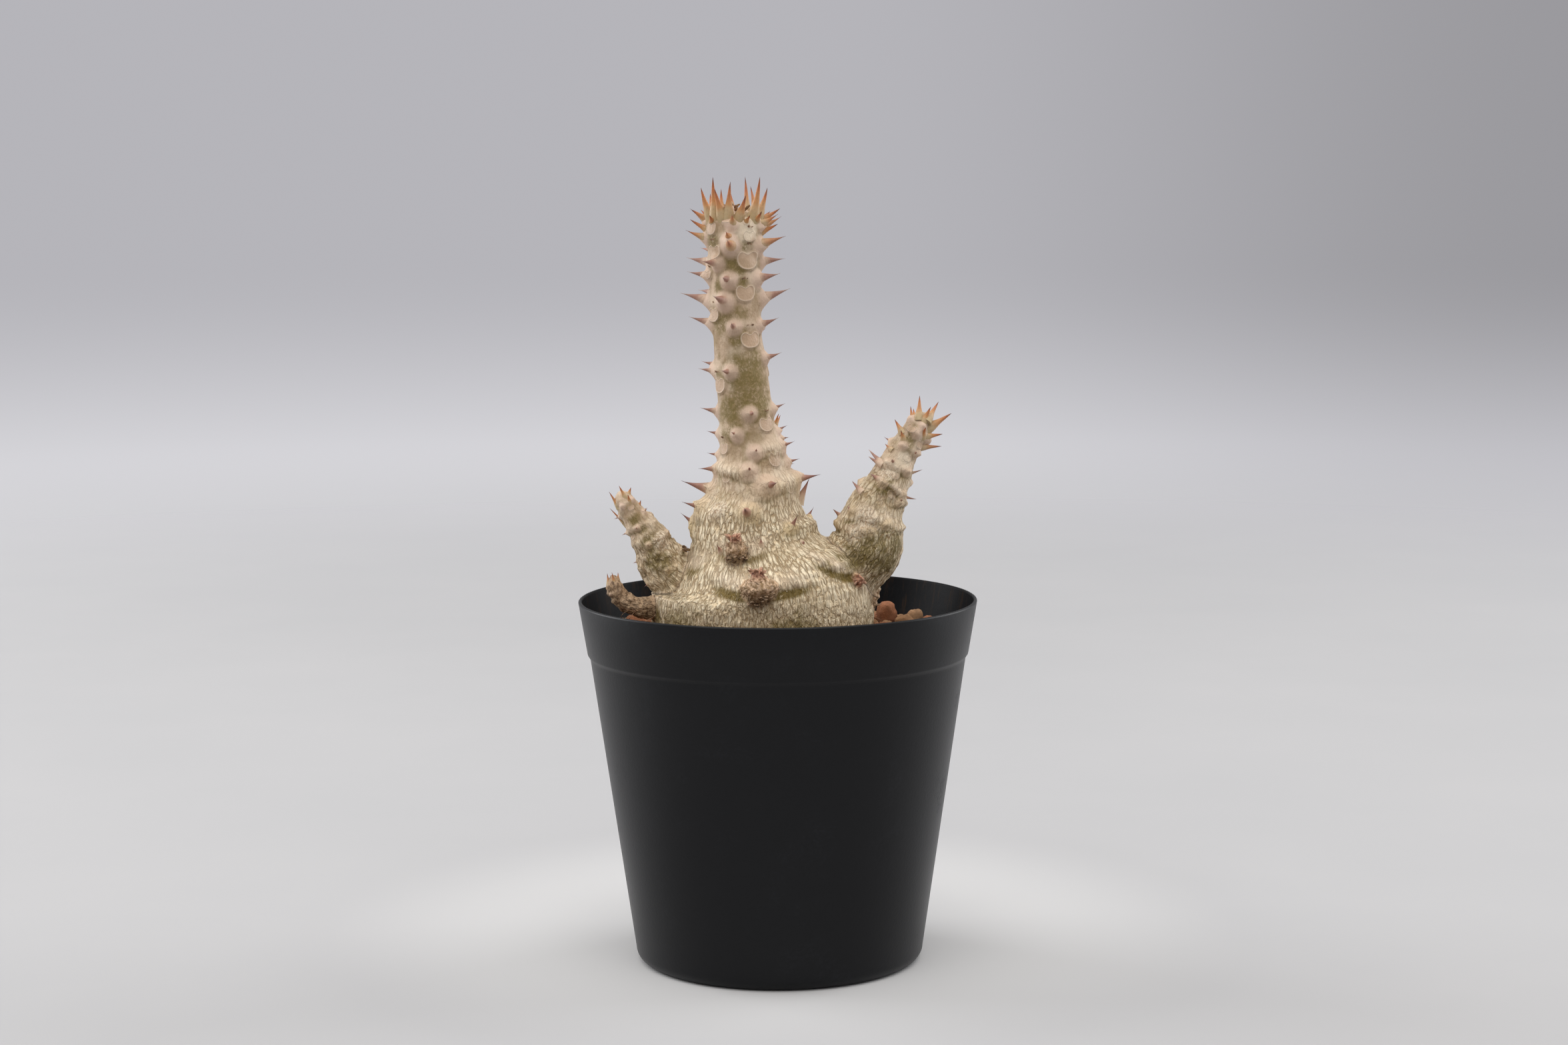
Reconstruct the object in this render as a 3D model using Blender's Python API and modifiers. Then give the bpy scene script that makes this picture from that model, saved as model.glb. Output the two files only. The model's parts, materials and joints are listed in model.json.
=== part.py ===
"""A potted pachypodium: a spiny caudex plant in gritty mix, in a plain round nursery pot.

Metres, +Z up. The origin is the centre of the pot's base and the plant's front faces -Y.
"""

import math
import random

import bmesh
import bpy
import numpy as np
from mathutils import Matrix, Vector

# Pot
POT_HEIGHT = 0.0824
RIM_RADIUS = 0.0450
BAND_FOOT_HEIGHT = 0.0702
BAND_FOOT_RADIUS = 0.04304
BAND_STEP = 0.0005  # how far the wall steps in under the rim band
STEP_DROP = 0.0009
BASE_RADIUS = 0.0323
BASE_FILLET = 0.0030
WALL = 0.00085
FOOT_RING_WIDTH = 0.0033
BASE_RISE = 0.0014  # the middle of the base stands this far off the ground
BASE_SLOPE = 0.0012
DRAIN_CENTRE_RADIUS = 0.0045
DRAIN_RADIUS = 0.0030
DRAIN_CIRCLE_RADIUS = 0.0160
DRAIN_COUNT = 6
POT_STEPS = 48

# Potting mix
CLEARANCE = 0.0003
HOLE_CLEARANCE = 0.0004
SOIL_HEIGHT = 0.0738
GRAIN_RADIUS = (0.0024, 0.0034)
GRAIN_PITCH = 0.0061
GRAIN_TOP = 0.0772
BIG_GRAINS = (  # x, y, z, radius
    (0.0252, 0.0190, 0.0762, 0.0032),
    (0.0290, 0.0120, 0.0750, 0.0026),
    (0.0318, 0.0185, 0.0750, 0.0024),
    (-0.0330, 0.0140, 0.0748, 0.0026),
    (0.0300, -0.0060, 0.0748, 0.0025),
    (-0.0060, 0.0330, 0.0750, 0.0027),
)
SOIL_STEPS = 40

# Plant axes: x, y, z and radius at points read up each stem
TRUNK = (
    (-0.0035, 0.0, 0.0400, 0.0016),
    (-0.0035, 0.0, 0.0470, 0.0044),
    (-0.0035, 0.0, 0.0550, 0.0092),
    (-0.0035, 0.0, 0.0630, 0.0160),
    (-0.0035, 0.0, 0.0700, 0.0220),
    (-0.0035, 0.0, 0.0760, 0.0246),
    (-0.0035, 0.0, 0.0810, 0.0248),
    (-0.0034, 0.0, 0.0848, 0.0242),
    (-0.0037, 0.0, 0.0880, 0.0220),
    (-0.0043, 0.0, 0.0915, 0.0188),
    (-0.0048, 0.0, 0.0950, 0.0165),
    (-0.0051, 0.0, 0.0990, 0.0138),
    (-0.0052, 0.0, 0.1030, 0.0112),
    (-0.0053, 0.0, 0.1070, 0.0095),
    (-0.0056, 0.0, 0.1110, 0.0081),
    (-0.0058, 0.0, 0.1150, 0.0071),
    (-0.0064, 0.0, 0.1190, 0.0064),
    (-0.0069, 0.0, 0.1240, 0.0060),
    (-0.0075, 0.0, 0.1300, 0.0059),
    (-0.0081, 0.0, 0.1360, 0.0057),
    (-0.0087, 0.0, 0.1420, 0.0054),
    (-0.0090, 0.0, 0.1500, 0.0056),
    (-0.0092, 0.0, 0.1580, 0.0057),
    (-0.0093, 0.0, 0.1630, 0.0062),
    (-0.0093, 0.0, 0.1680, 0.0066),
    (-0.0092, 0.0, 0.1708, 0.0052),
    (-0.0092, 0.0, 0.1722, 0.0024),
)
RIGHT_BRANCH = (
    (0.0090, -0.0004, 0.0832, 0.0080),
    (0.0146, -0.0007, 0.0890, 0.0088),
    (0.0193, -0.0008, 0.0941, 0.0089),
    (0.0206, -0.0006, 0.0990, 0.0076),
    (0.0221, -0.0006, 0.1028, 0.0063),
    (0.0238, -0.0006, 0.1066, 0.0050),
    (0.0258, -0.0006, 0.1104, 0.0043),
    (0.0277, -0.0006, 0.1146, 0.0036),
    (0.0296, -0.0006, 0.1178, 0.0031),
    (0.0313, -0.0006, 0.1207, 0.0028),
    (0.0327, -0.0006, 0.1232, 0.0024),
    (0.0335, -0.0006, 0.1245, 0.0015),
)
LEFT_BRANCH = (
    (-0.0150, 0.0, 0.0810, 0.0062),
    (-0.0215, -0.0006, 0.0855, 0.0061),
    (-0.0254, -0.0008, 0.0900, 0.0056),
    (-0.0276, -0.0010, 0.0940, 0.0048),
    (-0.0296, -0.0010, 0.0973, 0.0040),
    (-0.0315, -0.0010, 0.1003, 0.0032),
    (-0.0333, -0.0010, 0.1030, 0.0026),
    (-0.0347, -0.0010, 0.1053, 0.0020),
    (-0.0353, -0.0010, 0.1063, 0.0012),
)
LOW_BRANCH = (
    (-0.0220, -0.0040, 0.0812, 0.0030),
    (-0.0280, -0.0060, 0.0812, 0.0025),
    (-0.0320, -0.0068, 0.0818, 0.0022),
    (-0.0350, -0.0070, 0.0836, 0.0020),
    (-0.0364, -0.0070, 0.0862, 0.0019),
    (-0.0368, -0.0070, 0.0880, 0.0012),
)
REAR_BRANCH = (
    (-0.0020, 0.0080, 0.0860, 0.0070),
    (-0.0014, 0.0140, 0.0925, 0.0066),
    (-0.0010, 0.0182, 0.0980, 0.0056),
    (-0.0009, 0.0206, 0.1030, 0.0045),
    (-0.0011, 0.0222, 0.1080, 0.0038),
    (-0.0014, 0.0230, 0.1125, 0.0033),
    (-0.0018, 0.0232, 0.1165, 0.0028),
    (-0.0021, 0.0232, 0.1193, 0.0021),
    (-0.0022, 0.0232, 0.1203, 0.0012),
)
BRANCHES = (  # name, axis, size against the trunk, the first node's place up it and that node's angle
    ("right_branch", RIGHT_BRANCH, 0.72, 0.0200, 20.0),
    ("left_branch", LEFT_BRANCH, 0.50, 0.0130, -30.0),
    ("rear_branch", REAR_BRANCH, 0.66, 0.0170, 60.0),
    ("low_branch", LOW_BRANCH, 0.36, 0.0150, 0.0),
)
BUDS = (  # short stubs of dormant shoots on the caudex
    (
        (-0.0084, -0.0125, 0.0925, 0.0026),
        (-0.0090, -0.0162, 0.0956, 0.0021),
        (-0.0095, -0.0180, 0.0984, 0.0012),
    ),
    (
        (-0.0038, -0.0200, 0.0840, 0.0036),
        (-0.0040, -0.0236, 0.0874, 0.0028),
        (-0.0041, -0.0247, 0.0912, 0.0016),
    ),
    (
        (0.0150, -0.0070, 0.0862, 0.0026),
        (0.0176, -0.0104, 0.0876, 0.0019),
        (0.0186, -0.0120, 0.0884, 0.0010),
    ),
    (
        (0.0188, -0.0010, 0.0800, 0.0022),
        (0.0210, -0.0012, 0.0822, 0.0017),
        (0.0220, -0.0012, 0.0845, 0.0010),
    ),
    (
        (0.0120, 0.0150, 0.0870, 0.0026),
        (0.0138, 0.0182, 0.0895, 0.0020),
        (0.0146, 0.0194, 0.0918, 0.0011),
    ),
)
BURIED_STRETCHES = 6
PATH_SPACING = 0.0023
TRUNK_SIDES = 22
BRANCH_SIDES = 10
BUD_SIDES = 8

# Leaf nodes: they wind up the trunk two fifths of a turn at a time, and every fifth one stands in
# the front right column, at these heights and angles from the front
COLUMN_HEIGHTS = (
    0.0950, 0.1010, 0.1082, 0.1164, 0.1226, 0.1418, 0.1523, 0.1597, 0.1652, 0.1690, 0.1712,
)
COLUMN_ANGLES = (95.0, 78.0, 52.0, 45.0, 41.0, 31.0, 24.0, 30.0, 27.0, 27.0, 27.0)
NODES_PER_COLUMN = 5
NODE_TURN = 144.0
PAIR_ANGLE = 37.0  # each leaf's two spines stand this far to its left and right
PAIR_RISE = 0.0020
LEDGE_HEIGHTS = (0.100, 0.118, 0.130)  # up the trunk the ledges under the spines get lower
LEDGE_SIZES = (0.0013, 0.0012, 0.0008)
LEDGE_ANGLE = 52.0
CAUDEX_LEDGES = (  # angle from the front and height
    (-14.0, 0.0940), (2.0, 0.0862), (52.0, 0.0885),
    (-64.0, 0.0880), (150.0, 0.0900), (215.0, 0.0870),
)
CAUDEX_LEDGE_SIZE = 0.0011
CAUDEX_LEDGE_ANGLE = 26.0
BRANCH_NODE_PITCH = 0.0021
SPINE_LENGTH = 0.0056
SPINE_FOOT = 0.0017
SPINE_ROOT = 0.0011  # how deep a spine's foot is sunk
CROWN_REACH = 0.0055  # the spines this near the tip of the trunk turn upwards
CROWN_LIFT = 64.0
SPINE_SIDES = 5
SPINE_NECK = 0.24  # the foot ends this far out along a spine
SPINE_SLIM = 0.60  # and the neck is this much thinner than a plain cone
CAUDEX_SPINES = (  # angle from the front and height, in the pairs beside the dormant shoots
    (-38.0, 0.0934), (22.0, 0.0936), (40.0, 0.0960), (-62.0, 0.0960),
    (62.0, 0.0985), (-84.0, 0.0990), (118.0, 0.0950), (150.0, 0.0980),
    (205.0, 0.0975), (235.0, 0.0945), (262.0, 0.0992), (175.0, 0.1010),
)
CAUDEX_SPINE_LENGTH = 0.0034
CAUDEX_SPINE_FOOT = 0.0016
CAUDEX_SPINE_LIFT = 45.0


def clear_scene():
    for thing in list(bpy.data.objects):
        bpy.data.objects.remove(thing, do_unlink=True)


def new_collection(name):
    collection = bpy.data.collections.new(name)
    bpy.context.scene.collection.children.link(collection)
    return collection


def add_object(name, data, collection):
    thing = bpy.data.objects.new(name, data)
    collection.objects.link(thing)
    return thing


def make_material(name, colour, roughness):
    material = bpy.data.materials.new(name)
    material.use_nodes = True
    shader = material.node_tree.nodes["Principled BSDF"]
    shader.inputs["Base Color"].default_value = (*colour, 1.0)
    shader.inputs["Roughness"].default_value = roughness
    shader.inputs["Metallic"].default_value = 0.0
    material.diffuse_color = (*colour, 1.0)
    return material


def evaluated_mesh(thing):
    graph = bpy.context.evaluated_depsgraph_get()
    return bpy.data.meshes.new_from_object(thing.evaluated_get(graph), depsgraph=graph)


def bake(thing):
    """Replaces an object's mesh by the one its modifiers give."""
    mesh = evaluated_mesh(thing)
    thing.modifiers.clear()
    thing.data = mesh
    return thing


def turned(name, profile, steps, collection):
    """A profile of radius and height pairs, closed on itself, turned round the Z axis."""
    mesh = bpy.data.meshes.new(name)
    count = len(profile)
    edges = [(i, (i + 1) % count) for i in range(count)]
    mesh.from_pydata([(radius, 0.0, height) for radius, height in profile], edges, [])
    thing = add_object(name, mesh, collection)
    screw = thing.modifiers.new("Turn", "SCREW")
    screw.steps = steps
    screw.render_steps = steps
    screw.use_merge_vertices = True
    screw.merge_threshold = 0.00001
    return bake(thing)


def boolean(thing, cutters, operation, solver="EXACT"):
    """Applies one Boolean with every object of a collection, then removes those objects."""
    modifier = thing.modifiers.new(operation.title(), "BOOLEAN")
    modifier.operation = operation
    modifier.operand_type = "COLLECTION"
    modifier.collection = cutters
    modifier.solver = solver
    bake(thing)
    for cutter in list(cutters.objects):
        bpy.data.objects.remove(cutter, do_unlink=True)
    return thing


def keep_largest_skin(thing):
    """Drops loose scraps and the walls of hollows that a union sealed, so that the solid is whole."""
    bm = bmesh.new()
    bm.from_mesh(thing.data)
    left = set(bm.verts)
    skins = []
    while left:
        skin = set()
        queue = [left.pop()]
        while queue:
            vertex = queue.pop()
            skin.add(vertex)
            near = {edge.other_vert(vertex) for edge in vertex.link_edges} & left
            left -= near
            queue.extend(near)
        skins.append(skin)
    skins.sort(key=len)
    for skin in skins[:-1]:
        bmesh.ops.delete(bm, geom=list(skin), context="VERTS")
    bm.to_mesh(thing.data)
    bm.free()


def body_radius(height):
    """Outer radius of the pot's tapered wall, under the rim band."""
    slope = (BAND_FOOT_RADIUS - BAND_STEP - BASE_RADIUS) / BAND_FOOT_HEIGHT
    return BASE_RADIUS + slope * height


def pot_outside():
    """The pot's outer side from the rim down to the foot ring."""
    lip = WALL / 2
    points = [(RIM_RADIUS - lip * (1 - math.cos(a)), POT_HEIGHT - lip * (1 - math.sin(a)))
              for a in np.radians((90, 45, 0))]
    points.append((BAND_FOOT_RADIUS, BAND_FOOT_HEIGHT))
    points.append((body_radius(BAND_FOOT_HEIGHT - STEP_DROP), BAND_FOOT_HEIGHT - STEP_DROP))
    centre = body_radius(BASE_FILLET) - BASE_FILLET
    points += [(centre + BASE_FILLET * math.cos(a), BASE_FILLET * (1 - math.sin(a)))
               for a in np.radians((0, 30, 60, 90))]
    return points


def pot_inside():
    """The pot's inner side from the base plate's slope up to the rim."""
    foot = body_radius(BASE_FILLET) - BASE_FILLET
    inner_fillet = BASE_FILLET - WALL
    points = [(foot - FOOT_RING_WIDTH - BASE_SLOPE, BASE_RISE + WALL), (foot - FOOT_RING_WIDTH, WALL)]
    points += [(foot + inner_fillet * math.cos(a), BASE_FILLET - inner_fillet * math.sin(a))
               for a in np.radians((90, 45, 0))]
    points.append((body_radius(BAND_FOOT_HEIGHT - STEP_DROP) - WALL, BAND_FOOT_HEIGHT - STEP_DROP))
    points.append((BAND_FOOT_RADIUS - WALL, BAND_FOOT_HEIGHT))
    points.append((RIM_RADIUS - WALL, POT_HEIGHT - WALL / 2))
    return points


def make_pot(parts, cutters):
    foot = body_radius(BASE_FILLET) - BASE_FILLET
    underside = [(foot - FOOT_RING_WIDTH, 0.0), (foot - FOOT_RING_WIDTH - BASE_SLOPE, BASE_RISE),
                 (DRAIN_CENTRE_RADIUS, BASE_RISE), (DRAIN_CENTRE_RADIUS, BASE_RISE + WALL)]
    pot = turned("pot", pot_outside() + underside + pot_inside(), POT_STEPS, parts)
    for i in range(DRAIN_COUNT):
        angle = 2 * math.pi * (i + 0.5) / DRAIN_COUNT
        bm = bmesh.new()
        place = Matrix.Translation((DRAIN_CIRCLE_RADIUS * math.cos(angle),
                                    DRAIN_CIRCLE_RADIUS * math.sin(angle), BASE_RISE))
        bmesh.ops.create_cone(bm, cap_ends=True, segments=12, radius1=DRAIN_RADIUS,
                              radius2=DRAIN_RADIUS, depth=4 * WALL, matrix=place)
        mesh = bpy.data.meshes.new("drain")
        bm.to_mesh(mesh)
        bm.free()
        add_object("drain", mesh, cutters)
    boolean(pot, cutters, "DIFFERENCE")
    pot.data.shade_smooth()
    pot.data.set_sharp_from_angle(angle=math.radians(35))
    return pot


def smooth_path(points, spacing, buried=0):
    """Points with a radius, on a Catmull-Rom curve through the given ones, about this far apart.

    The first stretches can be buried ones, which keep only their end points."""
    knots = np.array(points)
    ends = np.vstack([2 * knots[0] - knots[1], knots, 2 * knots[-1] - knots[-2]])
    path = []
    for i, (a, b, c, d) in enumerate(zip(ends, ends[1:], ends[2:], ends[3:])):
        steps = 1 if i < buried else max(1, round(float(np.linalg.norm(c[:3] - b[:3])) / spacing))
        for t in np.arange(steps) / steps:
            path.append(0.5 * (2 * b + (c - a) * t + (2 * a - 5 * b + 4 * c - d) * t**2
                               + (3 * b - a - 3 * c + d) * t**3))
    path.append(knots[-1])
    return np.array(path)


def tube(name, path, sides, collection):
    """A round stem along a path, from a curve with a bevel, as a closed mesh."""
    curve = bpy.data.curves.new(name, "CURVE")
    curve.dimensions = "3D"
    curve.bevel_depth = 1.0
    curve.bevel_resolution = sides // 2 - 2
    curve.use_fill_caps = True
    spline = curve.splines.new("POLY")
    spline.points.add(len(path) - 1)
    for point, (x, y, z, radius) in zip(spline.points, path):
        point.co = (x, y, z, 1.0)
        point.radius = radius
    guide = add_object(name + "_guide", curve, collection)
    mesh = evaluated_mesh(guide)
    bpy.data.objects.remove(guide, do_unlink=True)
    bm = bmesh.new()
    bm.from_mesh(mesh)
    bmesh.ops.remove_doubles(bm, verts=bm.verts, dist=0.000001)
    bmesh.ops.recalc_face_normals(bm, faces=bm.faces)
    bm.to_mesh(mesh)
    bm.free()
    return add_object(name, mesh, collection)


class Stem:
    """A path with lengths along it, which says where a point on its surface is."""

    def __init__(self, points, spacing, buried=0):
        self.path = smooth_path(points, spacing, buried)
        steps = np.linalg.norm(np.diff(self.path[:, :3], axis=0), axis=1)
        self.lengths = np.concatenate([[0.0], np.cumsum(steps)])
        self.nodes = []  # length along the stem and angle from its front, of each leaf
        self.ledges = []  # the same for each ledge, then its size and half its width in degrees

    def centre(self, along):
        return np.array([np.interp(along, self.lengths, self.path[:, i]) for i in range(4)])

    def height_to_length(self, height):
        return float(np.interp(height, self.path[:, 2], self.lengths))

    def frame(self, along):
        """Centre, radius, and the directions up the stem, to its front and to its right."""
        x, y, z, radius = self.centre(along)
        ahead = self.centre(along + 0.001)[:3] - self.centre(along - 0.001)[:3]
        up = Vector(ahead).normalized()
        front = (Vector((0, -1, 0)) - up * up.dot(Vector((0, -1, 0)))).normalized()
        return Vector((x, y, z)), radius, up, front, front.cross(up) * -1.0

    def outward(self, along, angle):
        """Direction out of the stem, at this angle from its front towards its right."""
        _, _, _, front, right = self.frame(along)
        turn = math.radians(angle)
        return front * math.cos(turn) + right * math.sin(turn)


def swell(thing, stem):
    """Raises a stem's ledges, which slope away above and fall off sharply below."""
    axis = stem.path[:, :3]
    for vertex in thing.data.vertices:
        point = np.array(vertex.co)
        nearest = int(np.argmin(np.linalg.norm(axis - point, axis=1)))
        along = stem.lengths[nearest]
        centre, _, up, front, right = stem.frame(along)
        out = Vector(point) - centre
        along += out.dot(up)
        out -= up * out.dot(up)
        if out.length < 0.0001 or stem.path[nearest, 2] < GRAIN_TOP:
            continue
        angle = math.degrees(math.atan2(out.dot(right), out.dot(front)))
        rise = 0.0
        for ledge_along, ledge_angle, size, width in stem.ledges:
            across = (angle - ledge_angle + 180.0) % 360.0 - 180.0
            height = (along - ledge_along - PAIR_RISE * 0.5) / (0.0022 if along > ledge_along else 0.0013)
            rise = max(rise, size * math.exp(-height**2 - (across / width)**4))
        vertex.co += out.normalized() * rise


def spine(length, foot, lean):
    """A cone cut at one height, pulled into a swollen foot and a tip that leans up its Y axis."""
    bm = bmesh.new()
    bmesh.ops.create_cone(bm, cap_ends=True, segments=SPINE_SIDES, radius1=foot, radius2=0.0,
                          depth=length + SPINE_ROOT,
                          matrix=Matrix.Translation((0, 0, (length - SPINE_ROOT) / 2)))
    everything = bm.verts[:] + bm.edges[:] + bm.faces[:]
    bmesh.ops.bisect_plane(bm, geom=everything, plane_co=(0, 0, SPINE_NECK * length), plane_no=(0, 0, 1))
    for vertex in bm.verts:
        share = max(0.0, vertex.co.z / length)
        slim = SPINE_SLIM if share > 0.0 else 1.0
        vertex.co.x *= slim
        vertex.co.y = vertex.co.y * slim + lean * length * share**2
    mesh = bpy.data.meshes.new("spine")
    bm.to_mesh(mesh)
    bm.free()
    return mesh


def add_spine(stem, along, angle, length, foot, lift, collection):
    """Stands a spine on a stem, tipped up the stem by a lift in degrees."""
    centre, radius, up, _, _ = stem.frame(along)
    out = stem.outward(along, angle)
    aim = (out * math.cos(math.radians(lift)) + up * math.sin(math.radians(lift))).normalized()
    side = out.cross(up).normalized()
    turn = Matrix((side, side.cross(aim) * -1.0, aim)).transposed().to_4x4()
    place = Matrix.Translation(centre + out * radius) @ turn
    mesh = spine(length, foot, 0.16)
    mesh.transform(place)
    add_object("spine", mesh, collection)


def trunk_nodes(stem):
    """Where each leaf stood on the trunk: length along it and angle from the front."""
    nodes = []
    for i in range((len(COLUMN_HEIGHTS) - 1) * NODES_PER_COLUMN):
        place = i / NODES_PER_COLUMN
        column = range(len(COLUMN_HEIGHTS))
        height = float(np.interp(place, column, COLUMN_HEIGHTS))
        angle = float(np.interp(place, column, COLUMN_ANGLES)) + NODE_TURN * i
        nodes.append((stem.height_to_length(height), angle % 360.0))
    return nodes


def branch_nodes(stem, first, turn):
    """Leaf nodes up a branch at one pitch, closer towards its tip."""
    nodes = []
    along = first
    angle = turn
    while along < stem.lengths[-1] - 0.0012:
        nodes.append((along, angle % 360.0))
        along += BRANCH_NODE_PITCH * (1.25 - 0.5 * along / stem.lengths[-1])
        angle += NODE_TURN - 3.0
    return nodes


def add_pairs(stem, size, draw, collection):
    """Stands a pair of spines beside every leaf node, upright at the stem's tip."""
    tip = stem.lengths[-1]
    for along, angle in stem.nodes:
        for side in (-1, 1):
            crown = math.exp(-((tip - along) / (CROWN_REACH * size))**2)
            length = SPINE_LENGTH * size * draw.uniform(0.80, 1.12) * (1 + 0.15 * crown)
            lift = draw.uniform(6, 16) + CROWN_LIFT * crown
            spread = PAIR_ANGLE * side + draw.uniform(-4, 4)
            place = min(along + PAIR_RISE * size, tip - 0.0008)
            add_spine(stem, place, angle + spread, length, SPINE_FOOT * size**0.7, lift, collection)


def make_plant(parts, cutters):
    """Caudex, stems, dormant shoots and spines, grown as one and so fused into one solid."""
    draw = random.Random(5)
    trunk = Stem(TRUNK, PATH_SPACING, BURIED_STRETCHES)
    trunk.nodes = trunk_nodes(trunk)
    for along, angle in trunk.nodes:
        size = float(np.interp(trunk.centre(along)[2], LEDGE_HEIGHTS, LEDGE_SIZES))
        trunk.ledges.append((along, angle, size, LEDGE_ANGLE))
    for angle, height in CAUDEX_LEDGES:
        trunk.ledges.append((trunk.height_to_length(height), angle, CAUDEX_LEDGE_SIZE, CAUDEX_LEDGE_ANGLE))
    plant = tube("plant", trunk.path, TRUNK_SIDES, parts)
    swell(plant, trunk)
    add_pairs(trunk, 1.0, draw, cutters)
    for angle, height in CAUDEX_SPINES:
        add_spine(trunk, trunk.height_to_length(height), angle, CAUDEX_SPINE_LENGTH, CAUDEX_SPINE_FOOT,
                  CAUDEX_SPINE_LIFT, cutters)
    for name, points, size, first, turn in BRANCHES:
        stem = Stem(points, PATH_SPACING)
        stem.nodes = branch_nodes(stem, first, turn)
        stem.ledges = [(along, angle, LEDGE_SIZES[-1] * size, LEDGE_ANGLE) for along, angle in stem.nodes]
        branch = tube(name, stem.path, BRANCH_SIDES, cutters)
        swell(branch, stem)
        add_pairs(stem, size, draw, cutters)
    for points in BUDS:
        tube("bud", smooth_path(points, PATH_SPACING), BUD_SIDES, cutters)
    boolean(plant, cutters, "UNION", "MANIFOLD")
    keep_largest_skin(plant)
    plant.data.shade_smooth()
    plant.data.set_sharp_from_angle(angle=math.radians(50))
    return plant


def soil_profile():
    """Outline of the mix: as wide as the pot's inside less a small gap, and flat on top."""
    floor = BASE_RISE + WALL + CLEARANCE
    foot = body_radius(BASE_FILLET) - BASE_FILLET
    inner = [(radius - CLEARANCE, height) for radius, height in pot_inside()[4:7]]
    (low_radius, low), (high_radius, high) = inner[2], (RIM_RADIUS - WALL - CLEARANCE, POT_HEIGHT)
    top_radius = low_radius + (high_radius - low_radius) * (SOIL_HEIGHT - low) / (high - low)
    return [(0.0, SOIL_HEIGHT), (top_radius, SOIL_HEIGHT), *reversed(inner),
            (foot - FOOT_RING_WIDTH - BASE_SLOPE, floor), (0.0, floor)]


def grain(place, radius, draw, collection):
    """A broken lump: an icosahedron with its corners moved and its sides squashed."""
    bm = bmesh.new()
    bmesh.ops.create_icosphere(bm, subdivisions=1, radius=radius)
    squash = Vector([draw.uniform(0.75, 1.1) for _ in range(3)])
    for vertex in bm.verts:
        vertex.co *= draw.uniform(0.86, 1.14)
        vertex.co = Vector([a * b for a, b in zip(vertex.co, squash)])
    turn = Matrix.Rotation(draw.uniform(0, 6.28), 4, (draw.random(), draw.random(), 1))
    bmesh.ops.transform(bm, matrix=Matrix.Translation(place) @ turn, verts=bm.verts)
    mesh = bpy.data.meshes.new("grain")
    bm.to_mesh(mesh)
    bm.free()
    add_object("grain", mesh, collection)


def make_soil(parts, cutters):
    """The mix with its top grains, and a plain hole that the caudex stands in."""
    draw = random.Random(11)
    soil = turned("soil", soil_profile(), SOIL_STEPS, parts)
    axis = Vector((TRUNK[0][0], 0.0))
    wall = RIM_RADIUS - WALL - 0.0016
    for x, y, z, radius in BIG_GRAINS:
        grain(Vector((x, y, z)), radius, draw, cutters)
    big = [(Vector((x, y)), radius) for x, y, _, radius in BIG_GRAINS]
    rows = range(-10, 11)
    for row in rows:
        for column in rows:
            spot = Vector((column + 0.5 * (row % 2), row * 0.866)) * GRAIN_PITCH
            spot += Vector((draw.uniform(-1, 1), draw.uniform(-1, 1))) * GRAIN_PITCH * 0.2
            radius = draw.uniform(*GRAIN_RADIUS)
            crowded = any((spot - centre).length < size + 0.001 for centre, size in big)
            if spot.length + radius * 1.2 > wall or (spot - axis).length < 0.0240 or crowded:
                continue
            height = min(SOIL_HEIGHT + draw.uniform(0.0, 0.4) * radius, GRAIN_TOP - radius * 0.95)
            grain(Vector((*spot, height)), radius, draw, cutters)
    boolean(soil, cutters, "UNION")
    root = [(radius + HOLE_CLEARANCE, z) for _, _, z, radius in TRUNK[:BURIED_STRETCHES + 1]]
    bottom = root[0][1] - HOLE_CLEARANCE
    outline = [(0.0, POT_HEIGHT), (root[-1][0], POT_HEIGHT), *reversed(root)]
    outline += [(root[0][0], bottom), (0.0, bottom)]
    hole = turned("hole", outline, SOIL_STEPS, cutters)
    hole.data.transform(Matrix.Translation((TRUNK[0][0], 0.0, 0.0)))
    boolean(soil, cutters, "DIFFERENCE")
    return soil


def main():
    clear_scene()
    parts = new_collection("potted_pachypodium")
    cutters = new_collection("cutters")
    cutters.hide_render = True
    pot = make_pot(parts, cutters)
    pot.data.materials.append(make_material("pot_plastic", (0.014, 0.015, 0.017), 0.42))
    soil = make_soil(parts, cutters)
    soil.data.materials.append(make_material("potting_mix", (0.19, 0.09, 0.045), 0.9))
    plant = make_plant(parts, cutters)
    plant.data.materials.append(make_material("plant_bark", (0.50, 0.42, 0.29), 0.65))


main()
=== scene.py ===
import json
import math
import random

import bmesh
import bpy
import numpy as np
from mathutils import Matrix, Vector

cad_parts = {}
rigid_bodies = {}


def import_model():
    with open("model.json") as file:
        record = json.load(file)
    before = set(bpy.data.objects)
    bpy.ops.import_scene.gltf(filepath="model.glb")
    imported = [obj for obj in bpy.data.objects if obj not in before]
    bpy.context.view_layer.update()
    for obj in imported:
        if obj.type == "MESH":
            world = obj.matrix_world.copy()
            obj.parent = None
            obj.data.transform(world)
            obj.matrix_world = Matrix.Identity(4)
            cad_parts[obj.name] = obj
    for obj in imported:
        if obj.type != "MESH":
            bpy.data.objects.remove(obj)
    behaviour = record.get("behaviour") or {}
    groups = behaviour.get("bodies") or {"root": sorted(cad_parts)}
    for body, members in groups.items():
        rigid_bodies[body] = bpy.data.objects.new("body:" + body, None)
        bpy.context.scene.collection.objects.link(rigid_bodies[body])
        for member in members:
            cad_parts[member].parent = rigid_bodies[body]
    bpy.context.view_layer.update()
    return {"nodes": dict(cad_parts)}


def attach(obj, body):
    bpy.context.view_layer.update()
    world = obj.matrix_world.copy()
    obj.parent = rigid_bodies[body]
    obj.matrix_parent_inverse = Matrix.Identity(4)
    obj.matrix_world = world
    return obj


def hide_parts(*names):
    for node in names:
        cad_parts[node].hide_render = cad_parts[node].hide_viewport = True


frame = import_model()
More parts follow.
